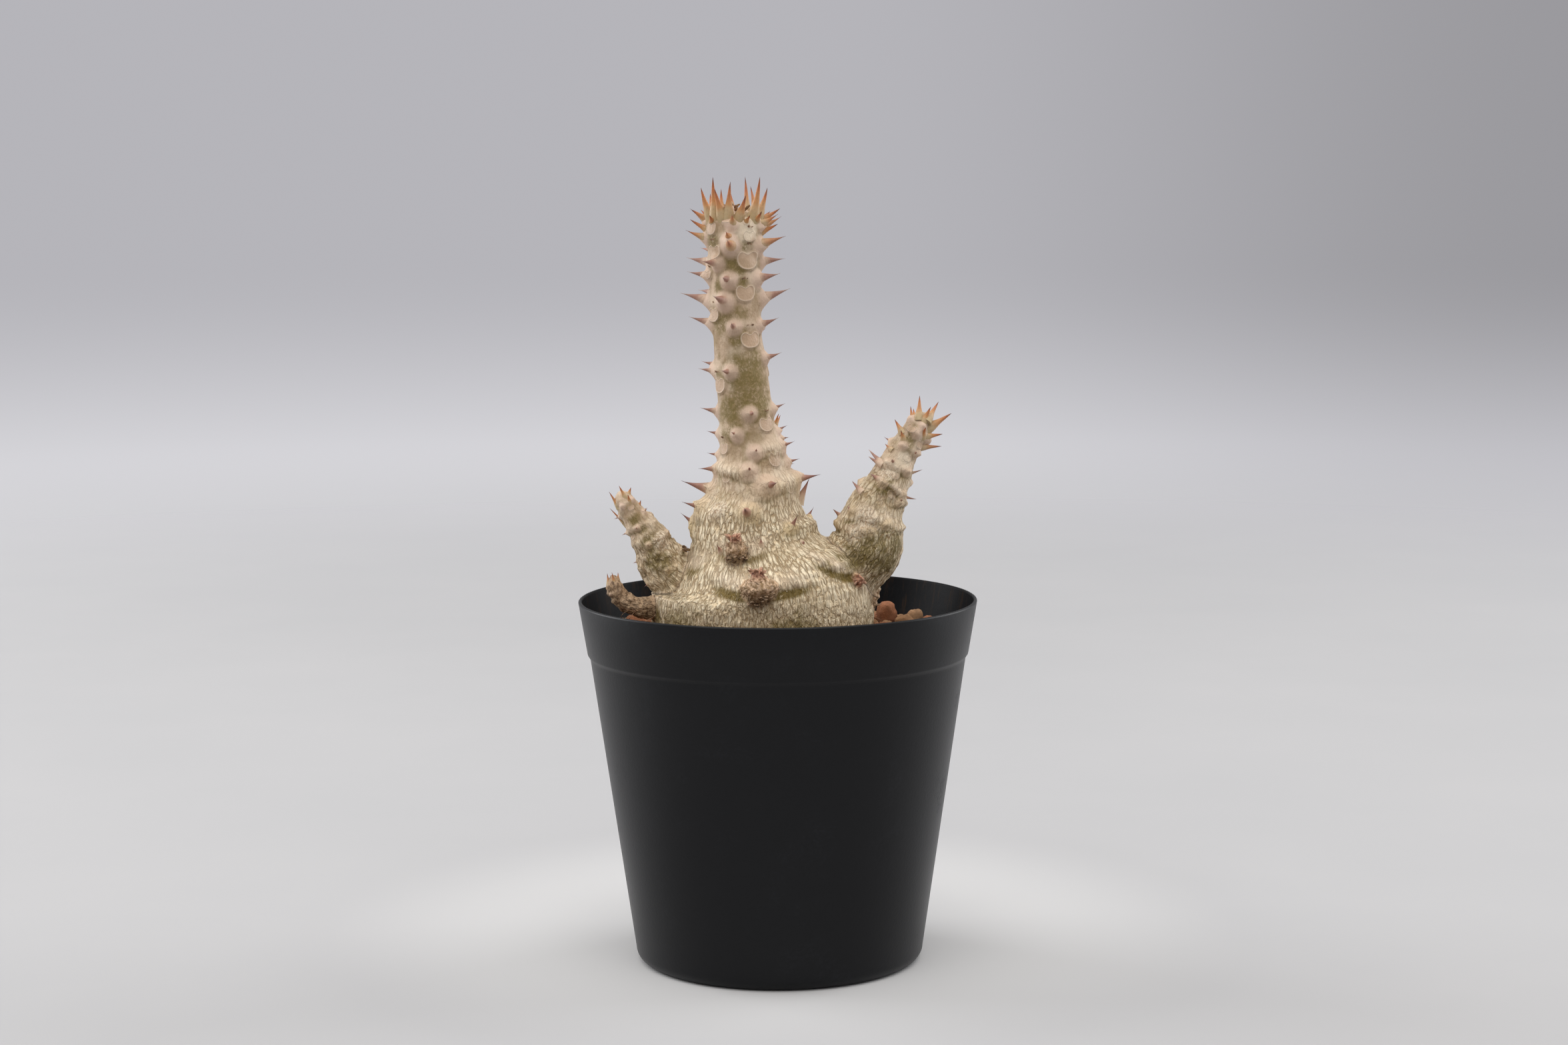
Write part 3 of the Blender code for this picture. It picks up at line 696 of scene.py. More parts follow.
buds = (
    {"axis": ((-8.9, -14.8, 93.8, 2.3), (-9.0, -15.9, 95.6, 1.7), (-9.2, -16.7, 97.2, 1.2),
              (-9.3, -17.0, 98.6, 1.0)), "flakes": 45, "bracts": 12},
    {"axis": ((-3.9, -22.6, 84.4, 1.7), (-4.0, -23.7, 86.6, 2.7), (-4.1, -24.5, 88.7, 2.2),
              (-4.2, -25.0, 90.3, 1.5), (-4.2, -25.0, 91.9, 1.2)), "flakes": 85, "bracts": 12},
    {"axis": ((-5.6, -22.6, 85.6, 1.4), (-6.2, -23.6, 87.4, 1.4), (-6.3, -24.0, 89.0, 0.8)),
     "flakes": 8, "bracts": 0},
    {"axis": ((-2.4, -22.6, 85.6, 1.4), (-1.8, -23.6, 87.4, 1.4), (-1.6, -24.0, 89.0, 0.8)),
     "flakes": 8, "bracts": 0},
    {"axis": ((15.0, -7.0, 86.2, 2.2), (17.6, -10.4, 87.6, 1.5), (18.6, -12.0, 88.2, 0.8)),
     "flakes": 30, "bracts": 4},
    {"axis": ((18.8, -1.0, 80.0, 2.2), (21.0, -1.2, 82.2, 1.7), (22.0, -1.2, 84.5, 1.0)),
     "flakes": 20, "bracts": 0},
    {"axis": ((12.0, 15.0, 87.0, 2.4), (13.8, 18.2, 89.5, 1.8), (14.6, 19.4, 91.8, 1.0)),
     "flakes": 30, "bracts": 6},
)
skinSizes = {
    "seed": 17,
    "voxel": 0.31,
    "cutHeight": 73.6,
    "fillet": 0.5,
    "forkFade": 0.8,
    "pullRounds": 3,
    "pullLimit": 0.8,
    "endFlat": 2.6,
    "tubeSides": 64,
    # height, angle from the front and half width of each scar on the trunk
    "leaves": ((98.8, 76, 1.6), (108.3, 56, 1.4), (114.7, 45, 1.7), (122.6, 46, 2.0), (141.8, 32, 2.3),
               (152.3, 24, 2.2), (159.7, 31, 2.5), (164.6, 33, 1.5), (167.6, 26, 0.9), (102.7, -41, 1.3),
               (111.5, -41, 1.4), (118.2, -58, 1.5), (132.2, -60, 2.1), (147.5, -62, 1.9), (156.0, -76, 1.2),
               (161.4, -46, 1.8), (166.2, -50, 1.5), (168.2, -16, 1.15), (99.2, -124, 1.2),
               (107.4, -122, 1.3), (114.6, -127, 1.4), (123.2, -127, 1.6), (142.6, -127, 1.8),
               (153.2, -127, 1.6), (165.0, -128, 1.4), (112.0, 125, 1.4), (117.5, 125, 1.5),
               (134.1, 111, 1.8), (147.7, 125, 1.8), (155.9, 127, 1.6), (164.0, 128, 1.3), (101.5, 185, 1.3),
               (109.3, 182, 1.3), (117.0, -170, 1.4), (125.5, 180, 1.6), (133.5, -150, 1.7),
               (139.5, 176, 1.8), (149.0, -168, 1.8), (158.5, 184, 1.6), (163.5, -176, 1.4)),
    "leafPitch": 2.1,
    "leafTurn": 141.0,
    "sideAngle": 100.0,
    "pairAngle": 37.0,
    "pairRise": 2.1,
    "scar": {"pad": 0.34, "slope": 0.22, "dish": 0.10, "mound": 0.36, "tallest": 2.5, "fold": 0.13,
             "oldFold": 0.24, "branchFold": 1.7, "crease": 0.15, "lump": 0.85},
    "wing": {"bend": 1.6, "rise": 0.85, "dip": 0.25, "dipBelow": 2.0},
    "coarseness": {"ripple": 0.11, "broad": 0.22, "rough": 0.07, "bud": (0.25, 0.20), "wood": (0.30, 0.16),
                   "wrinkle": 0.05},
    # age of the bark, and how corky it is, by height up the trunk or share up a branch
    "trunkAge": ((104, 118, 150, 166), (1.0, 0.5, 0.2, 0.0)),
    "branchAge": ((0.4, 0.75, 0.95), (0.9, 0.5, 0.0)),
    "trunkCork": ((99, 104, 109, 116, 172), (1.0, 0.75, 0.30, 0.08, 0.05)),
    "branchCork": ((0.3, 0.6, 0.8, 1.0), (1.0, 0.55, 0.2, 0.05)),
    "knobs": (0.0, 0.26, 0.42, 0.26, 0.2),  # height of the lumps on each stem
    # height up the trunk and length of the spines there
    "spineLengths": ((99, 4.2), (101, 4.4), (103, 6.8), (106, 7.2), (108.5, 7.0), (110.5, 4.4), (114, 3.6),
                     (119, 3.2), (123, 4.0), (134, 4.2), (142, 4.8), (147, 7.0), (151, 6.6), (154, 5.6),
                     (158, 5.8), (159.7, 7.6), (161.4, 4.6), (170, 4.6)),
    # angle, height, width in degrees, strength and tilt of each ledge of the swollen base
    "wings": ((-11, 95.0, 26, 0.27, 0.4), (-1, 88.0, 31, 0.95, 0.2), (54, 90.9, 18, 0.85, -1.6),
              (-60, 91.4, 16, 0.28, 0.3), (150, 90.0, 22, 0.35, 0.4), (215, 87.0, 20, 0.3, -0.5),
              (262, 92.0, 20, 0.35, 0.0), (102, 91.5, 20, 0.35, 0.6)),
    "hollowDepth": 0.16,
    "flowGirth": 3.0,
    "flowStep": 1.6,
    "flowSquash": 0.40,
    # x, y, z and radius of the green patches and the peeling ones
    "moss": ((21.5, -9.0, 93.8, 4.2), (24.5, -7.0, 91.0, 3.0), (15.5, -13.0, 93.2, 2.2),
             (26.5, -6.0, 94.6, 2.6), (24.0, -7.5, 89.4, 2.4), (-28.5, -5.5, 96.0, 2.0),
             (-31.8, -4.5, 100.6, 1.4), (30.6, -3.6, 120.0, 1.3), (17.0, -10.5, 93.0, 3.4),
             (12.0, -16.5, 92.0, 1.6), (15.5, -15.0, 90.6, 1.8), (18.8, -12.5, 89.0, 2.2),
             (-24.5, -8.5, 89.4, 2.0), (-21.5, -10.5, 89.2, 1.6), (-26.5, -6.0, 91.6, 2.6),
             (-30.2, -4.0, 98.6, 1.4), (-28.5, -8.0, 79.4, 2.6), (24.0, -5.5, 108.2, 1.8),
             (29.2, -3.6, 117.8, 1.8), (-7.0, -6.0, 134.0, 5.0), (-5.5, -6.0, 127.0, 4.2),
             (-10.5, -5.0, 125.0, 3.2), (-9.8, -5.5, 120.4, 2.4), (-12.0, -4.5, 144.5, 2.2),
             (-8.5, -5.5, 142.0, 2.4), (-9.0, -5.5, 160.8, 1.6), (-13.4, -4.0, 159.0, 1.8),
             (-7.5, -5.6, 153.4, 1.6), (-12.5, -4.6, 153.0, 1.8), (29.0, -4.0, 118.4, 1.3),
             (24.4, -6.0, 109.2, 1.5), (-6.5, -6.0, 162.4, 1.9), (-14.0, -4.0, 162.4, 2.0),
             (-8.0, -5.0, 157.0, 2.0), (-10.8, -5.6, 156.8, 2.6), (-12.0, -10.0, 76.0, 6.0),
             (3.0, -24.0, 76.5, 5.0), (-20.0, -16.0, 77.5, 5.0), (-8.5, -4.0, 147.0, 2.0),
             (15.0, 17.0, 88.0, 5.0), (-12.0, 20.0, 86.0, 5.0), (2.0, 15.0, 101.0, 4.0),
             (-1.0, 20.0, 113.0, 3.0), (-4.0, 7.0, 130.0, 5.0)),
    "pale": ((-13.0, -8.5, 103.6, 2.0), (19.5, -7.5, 101.0, 2.6), (17.5, -7.0, 98.0, 2.0),
             (24.5, -5.0, 111.5, 2.0), (-6.6, -5.6, 165.3, 2.5), (-25.5, -5.5, 96.0, 2.0),
             (27.8, -3.5, 114.2, 1.6), (-7.0, 5.5, 155.0, 4.0), (8.0, 20.0, 84.0, 5.0)),
    "rootRings": ((70.0, 22.0), (63.0, 16.0), (55.0, 9.2), (47.0, 4.4), (40.2, 1.6)),
}
# what each mark of the bark is away from every leaf
markStart = {"ledge": 0.0, "crease": 0.0, "lump": 0.0, "wing": 0.0, "ring": 2.5, "cone": 2.5}


def smoothPath(points, spacing):
    # points on a Catmull-Rom curve through the given ones, about this far apart
    knots = np.array(points, float)
    ends = np.vstack([2 * knots[0] - knots[1], knots, 2 * knots[-1] - knots[-2]])
    path = []
    for a, b, c, d in zip(ends, ends[1:], ends[2:], ends[3:]):
        steps = max(1, round(float(np.linalg.norm(c[:3] - b[:3])) / spacing))
        for t in np.arange(steps) / steps:
            path.append(0.5 * (2 * b + (c - a) * t + (2 * a - 5 * b + 4 * c - d) * t**2
                               + (3 * b - a - 3 * c + d) * t**3))
    path.append(knots[-1])
    return np.array(path)


def prepareStems():
    for stem in (*stems.values(), *buds):
        stem["path"] = smoothPath(stem["axis"], 1.0)
        steps = np.linalg.norm(np.diff(stem["path"][:, :3], axis=0), axis=1)
        stem["lengths"] = np.concatenate([[0.0], np.cumsum(steps)])
    draw = random.Random(skinSizes["seed"])
    for name, stem in stems.items():
        stem["leaves"] = trunkLeaves(stem) if name == "trunk" else branchLeaves(stem)
        for leaf in stem["leaves"]:
            leaf["swell"] = draw.uniform(0.65, 1.25)
            leaf["slant"] = draw.uniform(-0.16, 0.16)


def lengthAt(stem, height):
    return np.interp(height, stem["path"][:, 2], stem["lengths"])


def centreAt(stem, along):
    return np.array([np.interp(along, stem["lengths"], stem["path"][:, i]) for i in range(4)])


def trunkLeaves(stem):
    p = skinSizes
    return [{"at": lengthAt(stem, height), "angle": angle, "half": half,
             "age": np.interp(height, *p["trunkAge"]), "length": np.interp(height, *zip(*p["spineLengths"]))}
            for height, angle, half in sorted(p["leaves"])]


def spotOn(stem, x, z, side=-1):
    # length along the stem, angle from its front and depth of the surface seen at this x and z
    path = stem["path"]
    gap = np.array([x, z]) - path[:, (0, 2)]
    near = int(np.hypot(gap[:, 0], gap[:, 1]).argmin())
    step = path[min(near + 1, len(path) - 1)] - path[near - 1]
    off = float(gap[near] @ np.array([step[2], -step[0]])) / math.hypot(step[0], step[2])
    share = max(-0.999, min(0.999, off / path[near, 3]))
    turn = math.degrees(math.asin(share))
    depth = path[near, 1] + side * path[near, 3] * math.sqrt(1 - share**2)
    return stem["lengths"][near], turn if side < 0 else 180 - turn, depth


def branchLeaves(stem):
    # the scars that are listed, and others by rule on the rest of the branch
    p = skinSizes
    along, angle, end = stem["first"], stem["turn"], stem["lengths"][-1]
    spots = [spotOn(stem, x, z)[:2] for x, z in stem.get("scars", ())]
    while along < end - 1.2:
        if "scars" not in stem or abs(wrap(angle)) > p["sideAngle"]:
            spots.append((along, angle))
        along += p["leafPitch"] * (1.3 - 0.5 * along / end)
        angle += p["leafTurn"]
    return [{"at": along, "angle": angle, "half": 1.5, "age": np.interp(along / end, *p["branchAge"]),
             "length": np.interp(along / end, (0.5, 0.8, 0.95), stem["spines"])}
            for along, angle in sorted(spots)]


def sweep(tree, curve, ring):
    # the ring carried along the curve, scaled by its "girth" attribute
    curve = put(tree, "GeometryNodeSetCurveRadius", {"Curve": curve, "Radius": named(tree, "girth")})
    parts = {"Curve": curve, "Profile Curve": ring, "Fill Caps": True}
    made = addNode(tree, "GeometryNodeCurveToMesh", parts)
    if "Scale" in made.inputs:
        tree.links.new(named(tree, "girth"), made.inputs["Scale"])
    return made.outputs[0]


def stemTubeTree():
    tree, given = growTree("stemTubes", (("Sides", "Int", 48), ("Material", "Material", None)))
    curve = put(tree, "GeometryNodeMeshToCurve", {"Mesh": given["Geometry"]})
    ring = put(tree, "GeometryNodeCurvePrimitiveCircle", {"Resolution": given["Sides"], "Radius": 1.0})
    real = put(tree, "GeometryNodeRealizeInstances", {0: sweep(tree, curve, ring)})
    return endTree(tree, real, given["Material"])


def makeTubes(name, paths, sides, material):
    # one tube round each path of x, y, z and radius in millimetres
    edges, count = [], 0
    for path in paths:
        edges += [(count + i, count + i + 1) for i in range(len(path) - 1)]
        count += len(path)
    spots = np.vstack(paths) * mm
    thing = newObject(name, spots[:, :3], edges)
    setAttribute(thing.data, "girth", spots[:, 3])
    return useTree(thing, stemTubeTree(), {"Sides": sides, "Material": material})


def makeSkinBase(material):
    # one fused skin round every stem and bud, from tubes and a voxel remesh
    cut = skinSizes["cutHeight"]
    paths = [thing["path"] for thing in (*stems.values(), *buds)]
    trunk = paths[0]
    foot = [trunk[0, 0], 0.0, cut, np.interp(cut, trunk[:, 2], trunk[:, 3])]
    paths[0] = np.vstack([foot, trunk[trunk[:, 2] > cut + 0.3]])
    skin = makeTubes("barkSkin", paths, skinSizes["tubeSides"], material)
    remesh = skin.modifiers.new("fuse", "REMESH")
    remesh.mode = "VOXEL"
    remesh.voxel_size = skinSizes["voxel"] * mm
    settle(skin)
    bm = bmesh.new()
    bm.from_mesh(skin.data)
    low = [f for f in bm.faces if f.calc_center_median().z < (cut + 0.35) * mm and f.normal.z < -0.5]
    bmesh.ops.delete(bm, geom=low, context="FACES")
    bm.to_mesh(skin.data)
    bm.free()
    print("skin base:", len(skin.data.vertices), "points")
    return skin


def readEdges(mesh):
    edges = np.empty(len(mesh.edges) * 2, np.int32)
    mesh.edges.foreach_get("vertices", edges)
    return edges.reshape(-1, 2)


def stemField(points, stem):
    # each point's gap to the stem's surface, length along it, radius there, and angle from its front
    count = len(points)
    path, lengths = stem["path"], stem["lengths"]
    nearest = np.full(count, 1e9)
    along, radius = np.zeros(count), np.ones(count)
    centre, ahead = np.zeros((count, 3)), np.zeros((count, 3))
    for a, b, start, end in zip(path, path[1:], lengths, lengths[1:]):
        step = b[:3] - a[:3]
        share = np.clip((points - a[:3]) @ step / (step @ step), 0, 1)
        foot = a[:3] + share[:, None] * step
        distance = np.linalg.norm(points - foot, axis=1)
        better = distance < nearest
        nearest[better] = distance[better]
        along[better] = (start + share * (end - start))[better]
        radius[better] = (a[3] + share * (b[3] - a[3]))[better]
        centre[better] = foot[better]
        ahead[better] = step / np.linalg.norm(step)
    out = points - centre
    past = np.clip((out * ahead).sum(1), 0, None) * (along >= lengths[-1])
    nearest = np.sqrt(nearest**2 + (skinSizes["endFlat"] ** 2 - 1) * past**2)
    toFront = np.array([0.0, -1.0, 0.0])
    front = toFront - ahead * (ahead @ toFront)[:, None]
    front /= np.linalg.norm(front, axis=1)[:, None]
    angle = np.degrees(np.arctan2((out * np.cross(ahead, front)).sum(1), (out * front).sum(1)))
    return {"gap": nearest - radius, "along": along, "radius": radius, "angle": angle}


def relax(points, edges, rounds, weight):
    # moves each point towards the mean of its neighbours
    start, end = edges.T
    count = np.bincount(edges.ravel(), minlength=len(points))[:, None]
    for _ in range(rounds):
        total = np.stack([np.bincount(start, points[end, i], len(points))
                          + np.bincount(end, points[start, i], len(points)) for i in range(3)], 1)
        points = points + weight[:, None] * (total / count - points)
    return points


def roundSkin(skin):
    # pulls the skin onto the smooth union of the stems, which rounds every fork, and evens out voxel steps
    k, limit = skinSizes["fillet"], skinSizes["pullLimit"]
    edges = readEdges(skin.data)
    for _ in range(skinSizes["pullRounds"]):
        points = readPoints(skin.data) / mm
        gaps = np.array([stemField(points, stem)["gap"] for stem in (*stems.values(), *buds)])
        gap = -k * np.log(np.exp(-np.clip(gaps, -8, 30) / k).sum(0))
        points -= readPoints(skin.data, "normal") * np.clip(gap, -limit, limit)[:, None]
        points = relax(points, edges, 3, np.where(points[:, 2] > skinSizes["cutHeight"] + 0.8, 0.5, 0.0))
        writePoints(skin.data, points * mm)


def pairRise(leaf):
    # how far the spines stand above the middle of their scar
    return skinSizes["pairRise"] * np.interp(leaf["age"], (0.5, 0.8), (1.0, 0.15))


def leafRelief(stem, field, marks, rise):
    # the scar on its pad, the twin mounds and the ledge of each leaf that fell, as height in millimetres
    p, size = skinSizes["scar"], stem["size"]
    roll = 1.0 if size == 1 else p["branchFold"]
    for leaf in stem["leaves"]:
        age, half, swell, length = leaf["age"], leaf["half"], leaf["swell"], leaf["length"]
        radius = centreAt(stem, leaf["at"])[3]
        v = (field["along"] - leaf["at"]) / size
        turn = wrap(field["angle"] - leaf["angle"])
        near = (np.abs(v) < 7) & (np.abs(turn) < 110)
        v, u = v[near], np.radians(turn[near]) * radius / size
        pairU = math.radians(skinSizes["pairAngle"]) * radius / size
        offPair = np.abs(np.abs(u) - pairU)
        top = v > -0.25 * half
        notch = 0.4 * half * np.exp(-(u / (0.4 * half)) ** 2) * top
        low = (v + 0.25 * half + notch) / (half * np.where(top, 0.72, 1.02))
        ring = (np.abs(u / half) ** 2.3 + np.abs(low) ** 2.3) ** (1 / 2.3)
        pad = p["pad"] - p["slope"] * np.clip(v / half, -1, 1)
        pad *= smoothstep(1.22, 0.94, ring) * (1 - 0.8 * age)
        dv = v - pairRise(leaf)
        cone = np.hypot(offPair / (1 + 0.25 * age), dv * np.where(dv < 0, 0.85, 1.0))
        cone /= 1.1 + 0.24 * length + 0.5 * age
        tall = min(p["tallest"], p["mound"] * length) + 0.4 * age * swell
        mound = tall * np.clip(1 - cone, 0, 1) ** 1.4
        whole = np.exp(-(np.abs(u) / (pairU + 1.2 + 1.4 * age * swell)) ** 6)
        each = np.exp(-(offPair / (2.9 * swell)) ** 4)
        across = whole + (each - whole) * smoothstep(8.0, 11.0, radius / size)
        dv = dv + leaf["slant"] * u + field["ragged"][near]
        ledge = across * np.exp(-(dv / np.where(dv > 0, 1.5 + 1.3 * age, 0.8)) ** 2)
        crease = across * np.exp(-((dv + 1.5 + 0.15 * np.abs(u)) / 0.45) ** 2) * smoothstep(0.3, 0.7, age)
        lump = smoothstep(0.45, 0.8, age) * np.exp(-(u / (0.8 * pairU + 0.3)) ** 4 - ((dv + 0.5) / 2.0) ** 2)
        fold = swell * ((p["fold"] + p["oldFold"] * age) * roll * ledge + p["lump"] * lump)
        height = np.maximum(mound, fold) + 0.4 * np.minimum(mound, fold) + pad
        height -= p["dish"] * smoothstep(0.92, 0.80, ring) * (1 - age) + p["crease"] * swell * roll * crease
        rise[near] += height * size**0.8
        # the crease mark colours the fold under each ledge olive, partly the bark's own green and partly
        # painted shadow; it is weaker on the trunk
        if size == 1:
            crease = 0.4 * crease
        for name, value in (("ledge", ledge), ("crease", crease), ("lump", lump)):
            marks[name][near] = np.maximum(marks[name][near], value)
        for name, value in (("ring", ring), ("cone", cone)):
            marks[name][near] = np.minimum(marks[name][near], value)


def wingRelief(field, marks, rise):
    # the stretched ledges beside the dormant buds of the swollen base
    p = skinSizes["wing"]
    for angle, height, width, size, tilt in skinSizes["wings"]:
        turn = wrap(field["angle"] - angle) / width
        bow = field["height"] - height - p["bend"] * turn**2 - tilt * turn + 0.4 * field["ragged"]
        across = np.exp(-turn**4)
        ledge = across * np.exp(-(bow / np.where(bow > 0, 2.2, 1.15)) ** 2)
        under = bow + p["dipBelow"]
        crease = across * np.exp(-(under / np.where(under < 0, 1.3, 0.95)) ** 2)
        rise += size * (p["rise"] * ledge - p["dip"] * crease)
        marks["ledge"] = np.maximum(marks["ledge"], ledge)
        # the crease under each ledge, coloured dark olive: partly the bark's own green and partly painted
        # shadow under the ledge
        marks["wing"] = np.maximum(marks["wing"], crease * smoothstep(0.1, 0.4, size))


def blankMarks(count):
    return {name: np.full(count, start) for name, start in markStart.items()}


def stemRelief(fields, gaps):
    # the relief and marks of all the leaves and ledges, where each stem's fade into the next at a fork
    shares = np.exp(-np.clip(gaps, -6, 30) / skinSizes["forkFade"])
    shares /= shares.sum(0)
    owner, count = gaps.argmin(0), gaps.shape[1]
    marks, rise = blankMarks(count), np.zeros(count)
    for index, (stem, field) in enumerate(zip(stems.values(), fields)):
        own, lift = blankMarks(count), np.zeros(count)
        leafRelief(stem, field, own, lift)
        lift *= 1 - 0.75 * smoothstep(-3.0, -0.5, field["along"] - stem["lengths"][-1])
        if stem is stems["trunk"]:
            wingRelief(field, own, lift)
        rise += lift * shares[index]
        for key, start in markStart.items():
            if start:
                marks[key] = np.where(owner == index, own[key], marks[key])
            else:
                marks[key] = np.maximum(marks[key], own[key] * shares[index])
    return rise, marks


def flowCoords(field):
    # two copies of (round, round, along) at stepped radii, so a pattern keeps its size as a stem swells
    p = skinSizes
    level = np.log(np.maximum(field["radius"], 1.0) / p["flowGirth"]) / math.log(p["flowStep"])
    even = 2 * np.round(level / 2)
    turn = np.radians(field["angle"])
    flows = []
    for step in (even, 2 * np.round((level - 1) / 2) + 1):
        girth = p["flowGirth"] * p["flowStep"] ** step
        flows.append(np.stack([girth * np.cos(turn), girth * np.sin(turn), field["along"]], 1))
    return *flows, smoothstep(0.1, 0.9, np.abs(level - even))


def nearSpots(points, spots):
    # 1 on the named patches, falling away round them with a ragged edge
    ragged = 1 + 0.35 * latticeNoise(points, 0.45, 61) + 0.25 * latticeNoise(points, 1.2, 62)
    found = np.zeros(len(points))
    for x, y, z, radius in spots:
        distance = np.linalg.norm(points - (x, y, z), axis=1) * ragged
        found = np.maximum(found, smoothstep(radius * 1.5, radius * 0.5, distance))
    return found


def shareUp(fields, owner):
    # how far up its own stem each point is, from 0 to 1
    return np.choose(owner, [field["along"] / field["along"].max() for field in fields])


def budMarks(points, gaps):
    # 1 on the dormant buds, and how far up them: the ones without bracts keep one tone
    fields = [stemField(points, bud) for bud in buds]
    budGaps = np.array([field["gap"] for field in fields])
    owner = budGaps.argmin(0)
    leafy = np.isin(owner, [index for index, bud in enumerate(buds) if bud["bracts"]])
    bud = smoothstep(0.9, 0.1, budGaps.min(0)) * smoothstep(-1.2, 0.4, gaps.min(0))
    return bud, np.where(leafy, shareUp(fields, owner), 0.4)


def shapeSkin(skin):
    # moves the skin by every form of the bark, and keeps on it what the colours follow
    mesh, cut, c = skin.data, skinSizes["cutHeight"], skinSizes["coarseness"]
    points, edges = readPoints(mesh) / mm, readEdges(mesh)
    fields = [stemField(points, stem) for stem in stems.values()]
    for field in fields:
        field["height"] = points[:, 2]
        field["ragged"] = 0.45 * latticeNoise(points, 0.35, 45) + 0.25 * latticeNoise(points, 0.9, 46)
    gaps = np.array([field["gap"] for field in fields])
    owner = gaps.argmin(0)
    rise, marks = stemRelief(fields, gaps)
    flowA, flowB, flowMix = zip(*[flowCoords(field) for field in fields])
    flowA, flowB = np.choose(owner[:, None], flowA), np.choose(owner[:, None], flowB)
    nearest, second = np.sort(gaps, axis=0)[:2]
    fork = smoothstep(0.15, 1.6, second - nearest)
    progress = shareUp(fields, owner)
    height = points[:, 2]
    cork = np.where(owner == 0, np.interp(height, *skinSizes["trunkCork"]),
                    np.interp(progress, *skinSizes["branchCork"]))
    cork = np.maximum(cork, 0.85 * marks["lump"])
    woody = smoothstep(1.5, 4.0, fields[-1]["along"]) * (owner == len(fields) - 1)
    bud, budUp = budMarks(points, gaps)
    ripple = latticeNoise(flowA * (1, 1, 0.28), 0.9, 41)
    rise += fork * cork * (c["ripple"] * ripple + c["broad"] * latticeNoise(points, 0.28, 42))
    rise += c["rough"] * cork * latticeNoise(points, 1.3, 43)
    rise += bud * (c["bud"][0] * latticeNoise(points, 1.1, 51) + c["bud"][1] * latticeNoise(points, 2.2, 52))
    rise += woody * (c["wood"][0] * latticeNoise(points * (0.5, 1, 1), 1.1, 53)
                     + c["wood"][1] * latticeNoise(points, 2.4, 54))
    knobs = latticeNoise(flowA * (0.8, 0.8, 1), 0.55, 47) + 0.5 * latticeNoise(points, 1.1, 48)
    rise += fork * knobs * np.choose(owner, skinSizes["knobs"]) * (1 - 0.6 * smoothstep(0.7, 0.95, progress))
    wrinkle = latticeNoise(flowA * (0.35, 0.35, 1), 1.6, 44) * smoothstep(0.9, 1.3, marks["cone"])
    rise += fork * (1 - cork) * c["wrinkle"] * wrinkle * smoothstep(1.0, 1.3, marks["ring"])
    rise *= smoothstep(cut + 0.3, cut + 1.5, height)
    points = points + readPoints(mesh, "normal") * rise[:, None]
    points = relax(points, edges, 1, np.full(len(points), 0.25) * (height > cut + 0.6))
    writePoints(mesh, points * mm)
    # how concave the skin is at each point, from which the bark is painted with shade in its hollows and a
    # highlight on its bumps
    smoothed = relax(points, edges, 8, np.full(len(points), 0.6))
    hollow = ((smoothed - points) * readPoints(mesh, "normal")).sum(1) / skinSizes["hollowDepth"]
    wax = (0.6 * latticeNoise(points * (1, 1, 0.5), 0.22, 31)
           + 0.4 * latticeNoise(points * (1, 1, 0.6), 0.6, 32))
    green = latticeNoise(points * (1, 1, 0.7), 0.16, 21) + 0.5 * latticeNoise(points, 0.5, 22)
    marks.update(cork=cork * (0.35 + 0.65 * fork), hollow=np.clip(hollow, -1, 1), wax=wax * 0.5 + 0.5,
                 green=0.35 * smoothstep(-0.15, 0.6, green), moss=nearSpots(points, skinSizes["moss"]),
                 pale=nearSpots(points, skinSizes["pale"]), bud=bud, budUp=budUp, woody=woody,
                 flowMix=np.choose(owner, flowMix))
    for name, values in marks.items():
        setAttribute(mesh, name, values)
    for name, flow in (("flowA", flowA), ("flowB", flowB)):
        setAttribute(mesh, name, flow * (1, 1, skinSizes["flowSquash"]), "FLOAT_VECTOR")


def growRoot(skin):
    # closes the skin below the mix with the plain taper of the root
    bm = bmesh.new()
    bm.from_mesh(skin.data)
    loop = [e for e in bm.edges if e.is_boundary]
    axisX = stems["trunk"]["axis"][0][0]
    for height, radius in skinSizes["rootRings"]:
        made = bmesh.ops.extrude_edge_only(bm, edges=loop)["geom"]
        for vertex in [g for g in made if isinstance(g, bmesh.types.BMVert)]:
            angle = math.atan2(vertex.co.y, vertex.co.x - axisX * mm)
            vertex.co = (Vector((axisX, 0.0, height)) + aimed(angle) * radius) * mm
        loop = [g for g in made if isinstance(g, bmesh.types.BMEdge)]
    bmesh.ops.contextual_create(bm, geom=loop)
    bmesh.ops.recalc_face_normals(bm, faces=bm.faces)
    bm.to_mesh(skin.data)
    bm.free()


